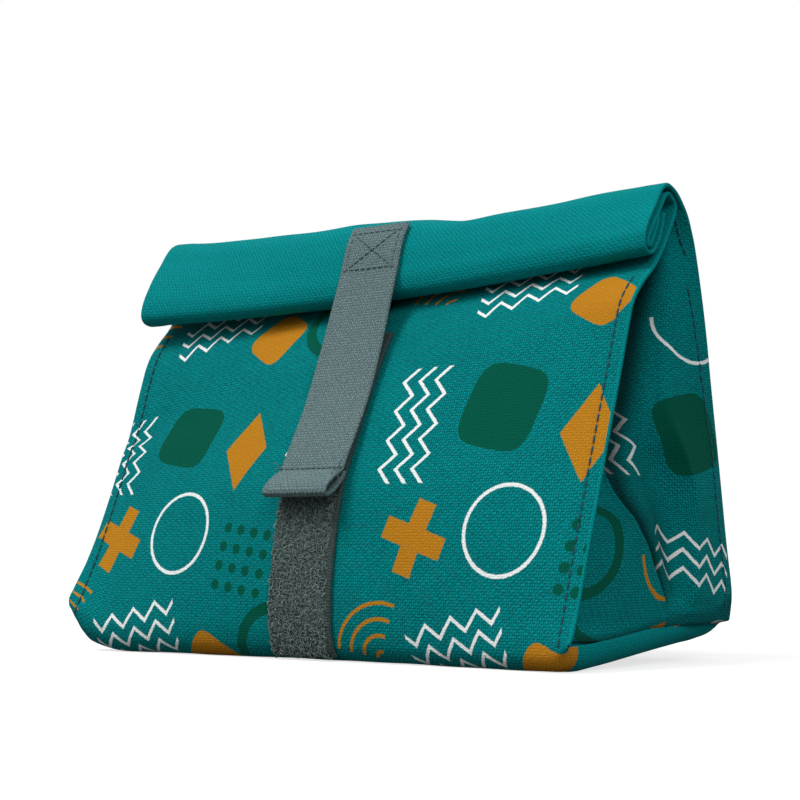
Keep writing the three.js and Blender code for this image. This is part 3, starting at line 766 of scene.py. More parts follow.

# %% [markdown]
# ## The long cloth
#
# The walls and base are one piece, which runs up to the mouth's first fold. The roll could be one more
# piece, but a piece bends at one hinge only, so it is three, cut between its bends.
# Each holds both plies of the mouth and the two folded gussets between them.

# %% Helpers for pieces of cloth
# Shift of the print across the long cloth.
PRINT_SHIFT = 120
# Places across the cloth where a folded gusset starts and ends between the plies, and its thickness.
TUCK_FROM, TUCK_TO, TUCK_THICK = 62, 96, 1.3


def wrap_sheet(a, b, step=1.9):
    """The long cloth from a to b along it, a little thicker at its sewn edges."""
    s = rows(a, b, step)
    c = columns()
    p, n = surface(c, s)
    return p, n, cloth_uv(c + PRINT_SHIFT, s), CLOTH + 0.3 * smoothstep(97, 101, np.abs(c))


def tuck_sheets(a, b):
    """A folded gusset between the plies of the roll, set back from the roll's ends."""
    sheets = []
    for side in (-1, 1):
        s = rows(a, b, 2.2)
        c = np.sort(side * np.linspace(TUCK_FROM, TUCK_TO, 15))
        p, n = surface(c, s, False)
        p = p - n * (ply_pitch(c) / 2)[None, :, None]
        sheets.append((p, n, cloth_uv(c, s), TUCK_THICK))
    return sheets


def along(hinge, way, a, b):
    """Start and end of a bend: distances a and b from the hinge along a direction in the side view."""
    d = np.array(way) / np.linalg.norm(way)
    point = lambda q: (0.0, (hinge[0] + d[0] * q) * MM, (hinge[1] + d[1] * q) * MM)
    return point(a), point(b)


def carry(piece, name, values):
    """Give each vertex of a piece a number that its material reads."""
    store = piece.data.attributes.new(name, "FLOAT", "POINT")
    store.data.foreach_set("value", values.astype(np.float32).ravel())


def cut_size(piece, width, length, held, *rests, area=None):
    """Print the size of the flat cut of a piece of cloth, in millimetres."""
    area = None if area is None else area * MM * MM
    print("%s: cut %.0f x %.0f mm" % (piece.name, width, length))


print("cloth helpers ready")

# %% Walls and base
# Heights in metres between which the printed ground turns plain on the back, and where it does so in front.
PRINT_FADE, PRINT_END = (0.106, 0.128), (0.1275, 0.1285)
# Cloth behind this depth is counted as the back.
BACK_FROM = 0.012
bag_cloth = make_object("bag_cloth", [wrap_sheet(INNER_CUT[0], OUTER_CUT[0])], PRINTED, PLAIN)
# The sides of the base, which turn up to the gussets, are plain. These are the limits of where they lie.
SIDE_X, SIDE_TOP, SIDE_FRONT, SIDE_REAR = 0.0955, 0.012, -0.039, 0.046
for face in bag_cloth.data.polygons:
    x, y, z = face.center
    if abs(x) > SIDE_X and z < SIDE_TOP and SIDE_FRONT < y < SIDE_REAR:
        face.material_index = 1
points = np.array([v.co for v in bag_cloth.data.vertices])
on_back = smoothstep(*PRINT_FADE, points[:, 2]) * (points[:, 1] > BACK_FROM)
carry(bag_cloth, "bare", np.maximum(on_back, smoothstep(*PRINT_END, points[:, 2])))
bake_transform(bag_cloth)
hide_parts("body_wrap", "crown_fold")
cut_size(bag_cloth, 2 * SPAN, OUTER_CUT[0] - INNER_CUT[0], "folded", "floor")

# %% The roll
# Per piece: the two bodies that it bends between, the way across the bend in the side view, where the bend
# starts and ends that way from the hinge, and the solids that the piece replaces. The way is the sum of the
# directions of the cloth on both sides: level at crown and foot, and 71 degrees from level at brow and hem.
ROLL_PIECES = [
    ("roll_crown_cloth", "roll_crown", "roll_brow", (-1.3256, -0.9455), (-4.8, 1.2),
     ("crown_back_ply", "crown_front_ply", "crown_left_tuck", "crown_right_tuck", "brow_fold")),
    ("roll_brow_cloth", "roll_brow", "roll_foot", (0.6744, -0.9455), (-2.6, 2.6),
     ("brow_back_ply", "brow_front_ply", "brow_left_tuck", "brow_right_tuck", "foot_fold")),
    ("roll_hem_cloth", "roll_foot", "roll_hem", (1.3256, 0.9455), (3.6, 10.0),
     ("foot_back_ply", "foot_left_tuck", "foot_right_tuck", "hem_fold", "hem_back_ply", "hem_front_ply",
      "hem_left_tuck", "hem_right_tuck")),
]
for k, (name, fixed, moving, way, reach, nodes) in enumerate(ROLL_PIECES):
    outer_a, outer_b = OUTER_CUT[k], OUTER_CUT[k + 1]
    inner_a, inner_b = INNER_CUT[k], INNER_CUT[k + 1]
    plies = [wrap_sheet(outer_a, outer_b, 1.3), wrap_sheet(inner_b, inner_a, 1.3)]
    piece = make_object(name, plies + tuck_sheets(outer_a, outer_b), PLAIN)
    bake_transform(piece)
    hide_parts(*nodes)
    cut_size(piece, 2 * SPAN, outer_b - outer_a + inner_a - inner_b, "folded", "bag_cloth")

# %% [markdown]
# ## The gussets
#
# A gusset is a flat side when the bag is open. With the mouth rolled shut its middle is drawn inwards: a
# front flap lies over a deep fold, the cloth slopes out of that fold to a ridge, and a flat band runs
# from the ridge to the back edge. Low down the fold runs out on the cloth above the base seam. It could
# be sculpted, but a list of levels can be set against the photograph one by one. The number fold, which
# the canvas reads, is painted shade: it is worked out from how high the flap stands above the cloth
# behind it and from nearness to the base seam, and it darkens the cloth there.

# %% Levels of a gusset
# Per level: its height, then (x, y) of the front flap's crest, of the fold hidden behind the flap, of three
# points of the slope that comes out of it, of the ridge beside the back band, and how soft that ridge is.
FOLDS = [
    (12.3, (102.5, 8.6), (102.2, 9.8), (102.4, 12.0), (102.8, 17.0), (103.1, 20.0), (103.6, 23.5), 3.0),
    (17.5, (102.3, 8.2), (101.0, 5.0), (101.0, 10.0), (101.6, 14.5), (102.4, 19.0), (103.8, 22.6), 2.8),
    (20.7, (102.3, 7.4), (100.0, 2.5), (100.0, 9.0), (100.8, 13.5), (100.4, 18.4), (105.0, 22.5), 2.6),
    (25.0, (102.2, 5.3), (99.2, -1.0), (99.2, 7.0), (100.0, 12.2), (99.7, 18.0), (105.0, 22.6), 2.4),
    (30.2, (102.1, 1.9), (98.4, -5.5), (98.4, 4.0), (99.4, 10.5), (99.0, 17.6), (105.0, 23.0), 2.2),
    (35.8, (102.0, -0.9), (97.8, -9.0), (97.8, 1.5), (99.0, 9.0), (98.5, 17.2), (105.0, 23.7), 2.0),
    (39.5, (102.0, -4.2), (97.2, -12.5), (97.2, -2.0), (98.8, 7.0), (98.2, 16.8), (105.0, 24.0), 1.8),
    (44.1, (101.9, -8.4), (96.4, -17.0), (96.4, -6.0), (98.5, 4.8), (98.0, 16.2), (105.0, 24.2), 1.6),
    (47.7, (101.8, -13.8), (95.6, -21.0), (95.6, -10.5), (98.2, 2.0), (97.8, 15.4), (105.0, 24.1), 1.5),
    (52.1, (101.6, -19.3), (94.2, -23.5), (94.6, -14.0), (97.6, -1.0), (97.7, 14.4), (105.0, 23.4), 1.5),
    (56.5, (101.4, -23.3), (92.2, -23.0), (93.0, -14.5), (96.8, -2.0), (97.5, 13.0), (105.0, 21.8), 1.5),
    (61.5, (100.8, -25.8), (89.5, -20.0), (91.0, -12.5), (96.0, -1.6), (97.3, 11.0), (105.0, 19.1), 1.6),
    (67.5, (100.2, -24.0), (85.5, -14.5), (88.0, -8.8), (94.5, -1.0), (97.4, 8.0), (104.8, 15.4), 2.2),
    (77.5, (99.8, -20.8), (79.0, -8.0), (81.5, -5.0), (90.2, 2.0), (96.8, 6.6), (102.6, 11.5), 4.0),
    (89.5, (99.4, -16.8), (73.5, -2.0), (76.0, -0.2), (87.0, 5.6), (94.5, 9.5), (100.6, 13.5), 5.0),
    (101.5, (99.0, -13.0), (69.0, 3.0), (72.0, 4.6), (84.0, 9.0), (92.5, 12.8), (99.2, 16.5), 5.0),
    (113.5, (98.4, -8.0), (65.0, 7.6), (68.0, 9.0), (81.0, 13.2), (90.6, 16.0), (98.2, 18.6), 5.0),
    (124.5, (98.0, 2.0), (62.0, 11.6), (65.0, 12.6), (79.0, 16.0), (89.0, 18.0), (97.6, 19.8), 4.0),
    (134.4, (98.0, 11.5), (60.0, 15.0), (63.0, 15.6), (78.0, 17.4), (88.0, 18.5), (97.0, 19.4), 3.0),
    (141.4, (98.0, 15.0), (60.0, 15.9), (63.0, 16.1), (78.0, 16.7), (88.0, 17.0), (97.0, 17.3), 3.0),
]
# Where the points across a gusset lie along the base seam, and as shares of the width. The crest is one of
# them, and so is the ridge.
SEAM_PLACES = [0.03, 0.26, 0.48, 0.56, 0.565, 0.575, 0.6, 0.645, 0.675, 0.69, 0.705, 0.725, 0.83, 0.99]
WIDTH_PLACES = np.array([0, 0.12, 0.22, 0.26, 0.3, 0.35, 0.44, 0.55, 0.66, 0.71, 0.735, 0.76, 0.87, 1.0])
CREST, RIDGE = 3, 10
print("gusset levels:", len(FOLDS))

# %% Points of a gusset
FRONT_WALL = np.linspace(KNOTS[N_ROLL], KNOTS[N_ROLL + N_FRONT - 3], 300)
BACK_WALL = np.linspace(KNOTS[N_ROLL + N_FRONT + N_BASE + 1], KNOTS[OUTER - 1], 300)
UNDER = np.linspace(KNOTS[N_ROLL + N_FRONT - 4], KNOTS[N_ROLL + N_FRONT + N_BASE + 2], 200)
# Places across the long cloth where the gusset meets the base, the front wall and the back wall.
BASE_EDGE, FRONT_EDGE, BACK_EDGE = 105.4, 100.6, 105.3


def on_wall(c, wall, z):
    """The point of the cloth at a height z on one wall, at a place c across."""
    p = wrap_points(np.array([c]), wall)[:, 0]
    order = np.argsort(p[:, 2])
    return np.array([np.interp(z, p[order, 2], p[order, k]) for k in range(3)])


def across_gusset(a, b, *shape):
    """Points across a right-hand gusset at one level, from the front edge a to the back edge b."""
    crest, fold, slope_a, slope_b, slope_c, ridge = (np.array(q, float) for q in shape[:-1])
    soft = shape[-1]
    crest[1] = max(crest[1], a[1] + 1.0)
    mix = lambda p, q, t: p + (q - p) * t
    before, after = ridge + unit(slope_c - ridge) * soft, ridge + unit(b - ridge) * soft
    flap = [a, mix(a, crest, 0.45), mix(a, crest, 0.85), crest, mix(crest, fold, 0.5), fold]
    return np.array(flap + [slope_a, slope_b, slope_c, before, ridge, after, mix(ridge, b, 0.6), b])


def gusset(side):
    """Points of a whole gusset, from the base seam up and from the front edge to the back edge."""
    edge = wrap_points(np.array([side * BASE_EDGE]), UNDER)[:, 0]
    share = np.interp(SEAM_PLACES, np.linspace(0, 1, len(edge)), np.arange(len(edge)))
    grid = [np.stack([edge[int(k)] for k in share]) + np.array([-0.3 * side, 0, 0.9])]
    for z, *shape in FOLDS:
        a = on_wall(side * FRONT_EDGE, FRONT_WALL, z) + np.array([0, 1.15, 0])
        b = on_wall(side * BACK_EDGE, BACK_WALL, z) + np.array([side * 1.1, -0.2, 0])
        xy = across_gusset(a[:2] * (side, 1), b[:2] * (side, 1), *shape)
        grid.append(np.column_stack([xy[:, 0] * side, xy[:, 1], np.full(len(xy), z)]))
    grid = np.array(grid)
    down = chord_knots(grid[:, RIDGE])
    tall = spline(grid.transpose(1, 0, 2), down, np.linspace(0, down[-1], 90)).transpose(1, 0, 2)
    return spline(tall, WIDTH_PLACES, np.linspace(0, 1, 141))


def painted_fold_shade(p, side):
    """Painted shade, 0 to 1: how high the front flap stands over each place behind it, and the groove of the
    base seam.
    """
    crest = int(round(WIDTH_PLACES[CREST] * (p.shape[1] - 1)))
    x, y, z = p[..., 0] * side, p[..., 1], p[..., 2]
    rise = (x[:, crest:crest + 1] - x) / np.maximum(y - y[:, crest:crest + 1] + 3.0, 1.0)
    painted_shade = smoothstep(0.08, 0.38, rise) * (np.arange(p.shape[1]) > crest + 2)
    return np.maximum(painted_shade, 0.6 * (1 - smoothstep(0.6, 3.0, z - z[:1])))


print("points across a gusset:", len(WIDTH_PLACES))

# %% Gusset pieces
# The stitches of a back edge run this far from it and this far above the cloth, and start above this row of
# points. They are made later.
SEAM_IN, SEAM_OVER, SEAM_START = 4.4, 0.62, 6
# Thickness of a gusset, and where it lies on the print: across, how far each side is off that, and along.
GUSSET_CLOTH, PRINT_ACROSS, PRINT_APART, PRINT_ALONG = 0.9, 300, 40, 66.0
BACK_SEAM = {}
for side, name in ((-1, "left_gusset_cloth"), (1, "right_gusset_cloth")):
    p = gusset(side)
    n = grid_normals(p)
    # The slope at mid height has to face away from the bag.
    if n[40, 92, 0] * side < 0:
        n = -n
    uv = measured_uv(p)
    column = np.argmin(np.abs(uv[:, -1:, 0] - uv[..., 0] - SEAM_IN), 1)
    stitched = [(r, k) for r, k in enumerate(column) if r > SEAM_START]
    BACK_SEAM[side] = np.array([p[r, k] + n[r, k] * SEAM_OVER for r, k in stitched])
    span, tall = uv[:, -1, 0].copy(), uv[-1, 0, 1]
    uv[..., 0] = uv[..., 0] - uv[:, -1:, 0] + PRINT_ACROSS + PRINT_APART * side
    sheet = (p, n, uv + np.array([0, PRINT_ALONG]), GUSSET_CLOTH)
    piece = make_object(name, [sheet], PRINTED, PLAIN)
    # Painted shade: fold is darker behind the front flap and along the base seam, and the canvas darkens the
    # cloth by it.
    # The mesh goes round each row of points: outer face, rim, inner face, rim.
    painted_shade = painted_fold_shade(p, side)
    rim_a, rim_b = np.repeat(painted_shade[:, -1:], len(ROUND), 1), np.repeat(painted_shade[:, :1], len(ROUND), 1)
    carry(piece, "fold", np.concatenate([painted_shade, rim_a, painted_shade[:, ::-1], rim_b], 1))
    carry(piece, "bare", smoothstep(*PRINT_FADE, np.array([v.co.z for v in piece.data.vertices])))
    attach(piece, "bag")
    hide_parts(name.replace("_cloth", ""), "neck_left_tuck" if side < 0 else "neck_right_tuck")
    cut_size(piece, span.max(), tall, "folded", "bag_cloth", area=span.mean() * tall)

# %% [markdown]
# ## Strap, tapes and pull tab
#
# The strap is one length of webbing. Its top is sewn to the roll by the box stitch, and below that
# stitch it hangs free. Its end folds back on itself into a pull tab that flares away from the bag, open
# at both sides. The loop tape runs down the front and ends where the front turns under, clear of the
# floor. A curve with a flat bevel could make all of these, but it has no UV map in millimetres, so they
# are closed sheets like the cloth.

# %% Ribbon of webbing
STRAP_X, TAPE_X, WIDTH, WEB = 2.0, 1.0, 25.0, 1.4
RIBBON_COLUMNS = 18


def ribbon(path, x, width, thick, step=1.2, first=0.0, sag=None, taper=None):
    """A closed strip along a path in the side view, facing away from the bag."""
    path = np.array(path, float)
    knots = chord_knots(path)
    s = rows(0, knots[-1], step)
    u = np.linspace(-width / 2, width / 2, RIBBON_COLUMNS)
    p = np.empty((len(s), len(u), 3))
    p[..., 0] = x + u[None, :] * (1.0 if taper is None else taper(s)[:, None])
    p[..., 1:] = spline(path, knots, s)[:, None, :]
    if sag is not None:
        p[..., 1] += sag(u[None, :], s[:, None])
    n = grid_normals(p)
    return p, (-n if n[3, 5, 1] > 0 else n), cloth_uv(u, s + first), thick


length_of = lambda path: chord_knots(np.array(path, float))[-1]
print("webbing: %.0f mm wide, %.1f mm thick" % (WIDTH, WEB))

# %% Strap and pull tab
STRAP_PATH = [(-5.7, 143.5), (-8.4, 138.9), (-10.6, 132.9), (-12.0, 128), (-14.2, 121.5), (-17.0, 113.5),
              (-20.4, 103.8), (-24.2, 94), (-28.6, 83.5), (-34.0, 73), (-38.0, 65.7), (-40.9, 60.2)]
TAB_PATH = [(-40.9, 60.1), (-43.2, 58.9), (-46.0, 57.1), (-48.6, 54.7), (-49.2, 53.1), (-48.0, 52.4),
            (-45.2, 53.5), (-42.2, 55.9), (-40.2, 58.1), (-39.4, 59.7)]
slack = lambda u, s: 0.25 * np.cos(u / 6.0) * np.sin(s / 14.0)
narrow_top = lambda s: 0.92 + 0.08 * smoothstep(10, 60, s)
sheet = ribbon(STRAP_PATH, STRAP_X, WIDTH, WEB, sag=slack, taper=narrow_top)
strap_web = make_object("strap_webbing", [sheet], WEBBING)
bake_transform(strap_web)
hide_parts("strap_anchor", "closure_strap")
cut_size(strap_web, WIDTH, length_of(STRAP_PATH), "laid", "roll_brow_cloth", "loop_tape_base")

sheet = ribbon(TAB_PATH, STRAP_X - 0.2, WIDTH + 0.4, WEB - 0.1, step=0.8, first=92.0)
tab = make_object("pull_tab_loop", [sheet], WEBBING)
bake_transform(tab)
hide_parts("pull_tab")
cut_size(tab, WIDTH, length_of(TAB_PATH), "folded", "strap_webbing")

# %% Hook tape and loop tape
# The hook tape lies just behind the strap, between these heights.
HOOK_LOW, HOOK_HIGH = 62, 98
HOOK_PATH = [(y + 1.0, z - 0.5) for y, z in STRAP_PATH if HOOK_LOW < z < HOOK_HIGH]
hooks = make_object("hook_tape_strip", [ribbon(HOOK_PATH, STRAP_X, WIDTH - 1.0, 0.9, step=1.5)], HOOK_TAPE)
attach(hooks, "strap")
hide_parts("hook_tape")
cut_size(hooks, WIDTH - 1, length_of(HOOK_PATH), "laid", "strap_webbing")

# How far the middle of the loop tape lies off the middle of the cloth.
TAPE_LIFT = CLOTH / 2 + 0.12 + 0.8
# It runs from 6 mm above the front's eighth point to 2 mm short of its last point but one.
tape_s = rows(KNOTS[N_ROLL + 7] - 6, KNOTS[N_ROLL + N_FRONT - 2] - 2, 1.4)
tape_c = np.linspace(TAPE_X - WIDTH / 2, TAPE_X + WIDTH / 2, 20)
p, n = surface(tape_c, tape_s)
tape = make_object("loop_tape_base", [(p + n * TAPE_LIFT, n, cloth_uv(tape_c, tape_s), 1.5)], LOOP_TAPE)
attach(tape, "bag")
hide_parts("loop_tape")
cut_size(tape, WIDTH, tape_s[-1] - tape_s[0], "laid", "bag_cloth")

# %% [markdown]
# ## Stitches
#
# A seam is a row of short, even lengths of thread. Each could be placed by hand, but a run of stitches is
# one path and one node tree: the path is cut into even steps, a stitch is set on each step and turned
# along the path, and the result becomes a plain mesh. Pitch, length and thread size are inputs of the
# tree.


# %% Helpers for node trees
def new_tree(name, inputs):
    """An empty Geometry Nodes tree that takes a mesh, the named inputs and a thread, and gives a mesh."""
    tree = bpy.data.node_groups.new(name, "GeometryNodeTree")
    sockets = {"Geometry": "Geometry", **inputs, "Thread": "Material"}
    for label, kind in sockets.items():
        tree.interface.new_socket(label, in_out="INPUT", socket_type="NodeSocket" + kind)
    tree.interface.new_socket("Geometry", in_out="OUTPUT", socket_type="NodeSocketGeometry")
    return tree, tree.nodes.new("NodeGroupInput"), tree.nodes.new("NodeGroupOutput")


def end_tree(tree, inp, out, copies):
    """The end of a tree: its copies become one smooth mesh in the thread's material."""
    last = copies
    for kind in ("RealizeInstances", "SetShadeSmooth", "SetMaterial"):
        node = tree.nodes.new("GeometryNode" + kind)
        tree.links.new(last.outputs[0], node.inputs[0])
        last = node
    tree.links.new(inp.outputs["Thread"], last.inputs["Material"])
    tree.links.new(last.outputs[0], out.inputs[0])


def plain_mesh(name, source, tree, settings):
    """The mesh that a node tree makes of a source mesh, as an object with no modifier."""
    obj = bpy.data.objects.new(name, source)
    bpy.context.collection.objects.link(obj)
    modifier = obj.modifiers.new("nodes", "NODES")
    modifier.node_group = tree
    for item in tree.interface.items_tree:
        if item.in_out == "INPUT" and item.name in settings:
            modifier[item.identifier] = settings[item.name]
    bpy.context.view_layer.update()
    mesh = bpy.data.meshes.new_from_object(obj.evaluated_get(bpy.context.evaluated_depsgraph_get()))
    obj.modifiers.clear()
    obj.data = mesh
    mesh.name = name
    bpy.data.meshes.remove(source)
    print("%s: %d faces" % (name, len(mesh.polygons)))
    return obj


print("tree helpers ready")


# %% Stitch runs with Geometry Nodes
def stitch_tree():
    numbers = dict.fromkeys(("Pitch", "Length", "Radius"), "Float")
    tree, inp, out = new_tree("stitch_run", numbers)
    node, link = tree.nodes.new, tree.links.new
    curve, even = node("GeometryNodeMeshToCurve"), node("GeometryNodeResampleCurve")
    points, copies = node("GeometryNodeCurveToPoints"), node("GeometryNodeInstanceOnPoints")
    even.mode = "LENGTH"
    points.mode = "EVALUATED"
    ball, size, half = node("GeometryNodeMeshUVSphere"), node("ShaderNodeCombineXYZ"), node("ShaderNodeMath")
    ball.inputs["Segments"].default_value = 8
    ball.inputs["Rings"].default_value = 6
    ball.inputs["Radius"].default_value = 1.0
    half.operation = "MULTIPLY"
    half.inputs[1].default_value = 0.5
    link(inp.outputs["Geometry"], curve.inputs[0])
    link(curve.outputs[0], even.inputs["Curve"])
    link(inp.outputs["Pitch"], even.inputs["Length"])
    link(even.outputs[0], points.inputs[0])
    link(points.outputs["Points"], copies.inputs["Points"])
    link(points.outputs["Rotation"], copies.inputs["Rotation"])
    link(ball.outputs["Mesh"], copies.inputs["Instance"])
    link(inp.outputs["Length"], half.inputs[0])
    link(inp.outputs["Radius"], size.inputs[0])
    link(inp.outputs["Radius"], size.inputs[1])
    link(half.outputs[0], size.inputs[2])
    link(size.outputs[0], copies.inputs["Scale"])
    end_tree(tree, inp, out, copies)
    return tree


STITCH = stitch_tree()


def stitches(name, paths, thread, body, node, pitch=3.4, length=3.0, radius=0.33):
    """Stitch runs along paths in millimetres, as one piece that replaces one solid."""
    verts, edges = [], []
    for path in paths:
        first = len(verts)
        verts += [tuple(v) for v in np.array(path) * MM]
        edges += [(first + k, first + k + 1) for k in range(len(path) - 1)]
    mesh = bpy.data.meshes.new(name + "_path")
    mesh.from_pydata(verts, edges, [])
    sizes = {"Pitch": pitch * MM, "Length": length * MM, "Radius": radius * MM, "Thread": thread}
    obj = plain_mesh(name, mesh, STITCH, sizes)
    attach(obj, body)
    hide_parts(node)


print("stitch tree:", len(STITCH.nodes), "nodes")

# %% Edge stitches
# Where the stitches of a front edge run, across the long cloth.
EDGE_SEAM = 102.3
for side, name in ((-1, "left"), (1, "right")):
    s = np.linspace(KNOTS[N_ROLL + 5], KNOTS[N_ROLL + N_FRONT - 4], 120)
    p, n = surface(np.array([side * EDGE_SEAM]), s)
    seams = {"front": p[:, 0] + n[:, 0] * (CLOTH / 2 + 0.36), "back": BACK_SEAM[side]}
    for wall, path in seams.items():
        edge = "%s_%s" % (wall, name)
        stitches(edge + "_stitches", [path], TEAL_THREAD, "bag", edge + "_edge_stitch")

# %% Strap stitches
strap_knots = chord_knots(np.array(STRAP_PATH))
# The row of stitches above the pull tab, measured down the strap.
TAB_ROW = strap_knots[-1] - 0.5


def on_strap(x, s, lift=0.8):
    """A point just above the strap's outer face, x across from its middle and s down from its top end."""
    yz = spline(np.array(STRAP_PATH, float), strap_knots, np.array([s - 0.2, s, s + 0.2]))
    d = unit(yz[2] - yz[0])
    return np.array([STRAP_X + x, yz[1, 0] + d[1] * lift, yz[1, 1] - d[0] * lift])


def straight(a, b):
    """A run of stitches on the strap from one corner of the box to another."""
    return [on_strap(a[0] + (b[0] - a[0]) * t, a[1] + (b[1] - a[1]) * t) for t in np.linspace(0, 1, 12)]


# Corners of the box stitch, across the strap and down from its top end.
corner = [(-10, 2.8), (10, 2.8), (10, 16.4), (-10, 16.4)]
sides = [straight(corner[k], corner[(k + 1) % 4]) for k in range(4)]
crossing = [straight(corner[0], corner[2]), straight(corner[1], corner[3])]
stitches("strap_box_stitches", sides + crossing, GREY_THREAD, "roll_brow", "strap_box_stitch",
         pitch=2.4, length=2.1, radius=0.24)
tab_path = [on_strap(x, TAB_ROW, 0.75) for x in np.linspace(-12.3, 12.3, 20)]
stitches("tab_stitches", [tab_path], GREY_THREAD, "strap", "tab_stitch",
         pitch=2.2, length=1.9, radius=0.32)

# %% [markdown]
# ## The loop tape's pile
#
# Loop tape is covered with tiny loops of thread. Hair could stand for them, but small meshes are sure to
# reach the export. A second node tree scatters them: points on the tape's face, an arc of thread on each,
# turned and sized at random with a fixed seed. The lower part stands up; the upper part, which the strap
# covers, is pressed flatter.


# %% Pile with Geometry Nodes
def pile_tree():
    inputs = {"Density": "Float", "Smallest": "Float", "Largest": "Float", "Seed": "Int"}
    tree, inp, out = new_tree("loop_pile", inputs)
    node, link = tree.nodes.new, tree.links.new
    scatter, copies = node("GeometryNodeDistributePointsOnFaces"), node("GeometryNodeInstanceOnPoints")
    arc, ring = node("GeometryNodeCurveArc"), node("GeometryNodeCurvePrimitiveCircle")
    tube = node("GeometryNodeCurveToMesh")
    arc.inputs["Resolution"].default_value = 6
    arc.inputs["Radius"].default_value = 1.0
    arc.inputs["Sweep Angle"].default_value = 4.2
    ring.inputs["Resolution"].default_value = 3
    ring.inputs["Radius"].default_value = 0.15
    tube.inputs["Fill Caps"].default_value = True
    turn, size = node("FunctionNodeRandomValue"), node("FunctionNodeRandomValue")
    turn.data_type = "FLOAT_VECTOR"
    turn.inputs[1].default_value = (6.283, 6.283, 6.283)
    size.data_type = "FLOAT"
    link(inp.outputs["Geometry"], scatter.inputs["Mesh"])
    link(inp.outputs["Density"], scatter.inputs["Density"])
    link(inp.outputs["Seed"], scatter.inputs["Seed"])
    link(inp.outputs["Seed"], turn.inputs["Seed"])
    link(inp.outputs["Seed"], size.inputs["Seed"])
    link(inp.outputs["Smallest"], size.inputs[2])
    link(inp.outputs["Largest"], size.inputs[3])
    link(arc.outputs["Curve"], tube.inputs["Curve"])
    link(ring.outputs["Curve"], tube.inputs["Profile Curve"])
    link(scatter.outputs["Points"], copies.inputs["Points"])
    link(tube.outputs[0], copies.inputs["Instance"])
    link(turn.outputs[0], copies.inputs["Rotation"])
    link(size.outputs[1], copies.inputs["Scale"])
    end_tree(tree, inp, out, copies)
    return tree


PILE = pile_tree()
# The pile starts at the tape's face, reaches past its left edge and stops short of its right one.
PILE_LIFT, PAST_LEFT, SHORT_OF_RIGHT, PILE_COLUMNS = TAPE_LIFT + 0.72, 0.2, 1.0, 12
# The strap covers the tape down to about this height, which lies between two points of the front.
OPEN_BELOW = 64.0
open_part = tape_s > np.interp(OPEN_BELOW, [50.0, 88.0], [KNOTS[N_ROLL + 10], KNOTS[N_ROLL + 8]])
PILES = [
    ("loop_pile_open", open_part, {"Density": 2.3e6, "Smallest": 0.45e-3, "Largest": 0.95e-3, "Seed": 5}),
    ("loop_pile_pressed", ~open_part, {"Density": 1.3e6, "Smallest": 0.25e-3, "Largest": 0.4e-3, "Seed": 8}),
]
pile_c = np.linspace(TAPE_X - WIDTH / 2 - PAST_LEFT, TAPE_X + WIDTH / 2 - SHORT_OF_RIGHT, PILE_COLUMNS)
for name, part, settings in PILES:
    p, n = surface(pile_c, tape_s[part])
    p = (p + n * PILE_LIFT).reshape(-1, 3) * MM
    r, k = np.meshgrid(np.arange(part.sum() - 1), np.arange(PILE_COLUMNS - 1), indexing="ij")
    first = (r * PILE_COLUMNS + k).ravel()
    above = first + PILE_COLUMNS
    mesh = bpy.data.meshes.new(name + "_face")
    mesh.from_pydata(p.tolist(), [], np.stack([first, first + 1, above + 1, above], 1).tolist())
    pile = plain_mesh(name, mesh, PILE, {**settings, "Thread": FUZZ})
    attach(pile, "bag")

# %% [markdown]
# ## Loose thread ends
#
# The row of stitches above the pull tab was cut by hand, so short ends of thread stand out at both sides.
# Each is a thin round curve, which is the quickest way to draw one wisp, and the curves become one mesh.

# %% Thread ends
# Per wisp: where it leaves the row, then its points as steps to the side, up the strap and out from it.
WISPS = [
    (-12.0, [(0, 0, 0.2), (-1.4, 0.6, 0.9), (-2.6, 1.6, 1.2), (-4.4, 1.9, 1.0)]),
    (-12.0, [(0, 0, 0.2), (-1.0, -0.4, 1.0), (-2.2, -1.6, 1.6)]),
    (12.0, [(0, 0, 0.2), (1.0, 1.0, 1.4), (2.0, 2.6, 1.8), (2.6, 4.4, 1.2)]),
    (12.0, [(0, 0, 0.2), (1.2, -0.6, 1.2), (1.8, -3.0, 1.6), (3.0, -6.4, 1.0)]),
    (11.6, [(0, 0, 0.2), (0.4, -1.6, 1.6), (-0.2, -4.0, 2.0), (0.6, -6.6, 1.8)]),
]
ends = bpy.data.curves.new("tab_thread_ends", "CURVE")
ends.dimensions = "3D"
ends.bevel_depth = 0.00012
ends.bevel_resolution = 1
ends.use_fill_caps = True
for x, points in WISPS:
    line = ends.splines.new("POLY")
    q = np.array([on_strap(x + dx, TAB_ROW - up, 0.75 + out) for dx, up, out in points])
    q = spline(q, chord_knots(q), np.linspace(0, chord_knots(q)[-1], 10)) * MM
    line.points.add(len(q) - 1)
    line.points.foreach_set("co", np.column_stack([q, np.ones(len(q))]).ravel())
source = bpy.data.objects.new("thread_ends_source", ends)
bpy.context.collection.objects.link(source)
mesh = bpy.data.meshes.new_from_object(source)
bpy.data.objects.remove(source)
mesh.materials.clear()
mesh.materials.append(GREY_THREAD)
thread_ends = bpy.data.objects.new("tab_thread_ends", mesh)
bpy.context.collection.objects.link(thread_ends)
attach(thread_ends, "strap")
print("thread ends:", len(WISPS))

# %% [markdown]
# ## Light, floor and background
#
# The bag stands on a pale floor in soft light: a wide source above and to the left of the camera, and a
# weaker one on the right. A studio with lamps and a backdrop could be built, but two distant lights stay
# the same in every view. The floor and the surroundings are brighter where the camera sees them than as a
# light.


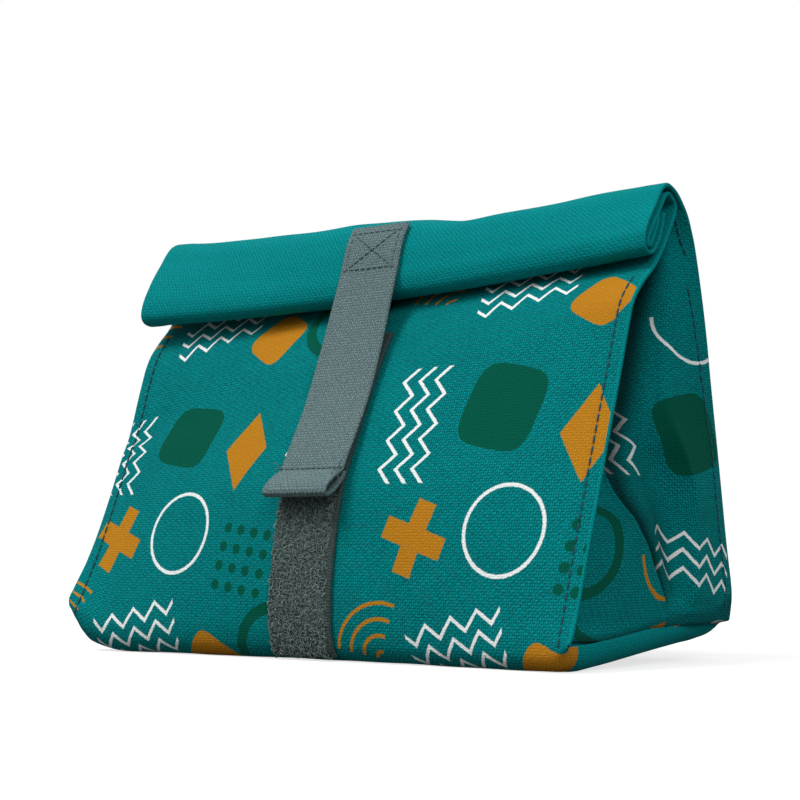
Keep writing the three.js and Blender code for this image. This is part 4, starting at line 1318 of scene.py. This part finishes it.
# %% Floor
def seen_as_picture(tree):
    """1 for a ray from the camera, also by way of metal or glass, and 0 for one that gathers light."""
    m, rays = sums(tree), tree.nodes.new("ShaderNodeLightPath")
    through = m("MAXIMUM", rays.outputs["Is Glossy Ray"], rays.outputs["Is Transmission Ray"])
    return m("MAXIMUM", rays.outputs["Is Camera Ray"], through)


def choose(tree, as_light, as_picture):
    """One shader for light and another for the picture."""
    node = tree.nodes.new("ShaderNodeMixShader")
    tree.links.new(seen_as_picture(tree), node.inputs[0])
    tree.links.new(as_light.outputs[0], node.inputs[1])
    tree.links.new(as_picture.outputs[0], node.inputs[2])
    return node.outputs[0]


floor_mesh = bpy.data.meshes.new("floor")
floor_mesh.from_pydata([(-4, -4, 0), (4, -4, 0), (4, 4, 0), (-4, 4, 0)], [], [(0, 1, 2, 3)])
floor = bpy.data.objects.new("floor", floor_mesh)
bpy.context.collection.objects.link(floor)
floor_mat = bpy.data.materials.new("pale_floor")
floor_mat.use_nodes = True
tree = floor_mat.node_tree
tree.nodes.remove(tree.nodes["Principled BSDF"])
dull, bright = tree.nodes.new("ShaderNodeBsdfDiffuse"), tree.nodes.new("ShaderNodeBsdfDiffuse")
glow, both = tree.nodes.new("ShaderNodeEmission"), tree.nodes.new("ShaderNodeAddShader")
dull.inputs["Color"].default_value = (0.16, 0.16, 0.16, 1)
bright.inputs["Color"].default_value = (0.4, 0.4, 0.4, 1)
glow.inputs["Strength"].default_value = 0.72
tree.links.new(bright.outputs[0], both.inputs[0])
tree.links.new(glow.outputs[0], both.inputs[1])
tree.links.new(choose(tree, dull, both), tree.nodes["Material Output"].inputs[0])
floor_mesh.materials.append(floor_mat)
print("floor nodes:", len(tree.nodes))


# %% Lights and surroundings
def sun(name, toward, strength, angle):
    """A soft distant light that comes from the direction toward."""
    lamp = bpy.data.objects.new(name, bpy.data.lights.new(name, "SUN"))
    lamp.data.energy = strength
    lamp.data.angle = math.radians(angle)
    lamp.rotation_euler = (-Vector(toward)).to_track_quat("-Z", "Y").to_euler()
    bpy.context.collection.objects.link(lamp)


sun("key", (-0.22, -0.50, 0.84), 1.95, 24)
sun("side", (0.68, -0.53, 0.50), 1.1, 30)
world = bpy.data.worlds.new("studio")
bpy.context.scene.world = world
world.use_nodes = True
tree = world.node_tree
m = sums(tree)
dim, white = tree.nodes["Background"], tree.nodes.new("ShaderNodeBackground")
for shader in (dim, white):
    shader.inputs["Color"].default_value = (1, 1, 1, 1)
white.inputs["Strength"].default_value = 1.0
split = tree.nodes.new("ShaderNodeSeparateXYZ")
tree.links.new(tree.nodes.new("ShaderNodeTexCoord").outputs["Generated"], split.inputs[0])
overhead = m("MAXIMUM", split.outputs[2], 0.0)
tree.links.new(m("MULTIPLY_ADD", overhead, 0.3, 0.26), dim.inputs["Strength"])
tree.links.new(choose(tree, dim, white), tree.nodes["World Output"].inputs[0])
bpy.context.scene.view_settings.view_transform = "Standard"
print("lights:", len(bpy.data.lights))
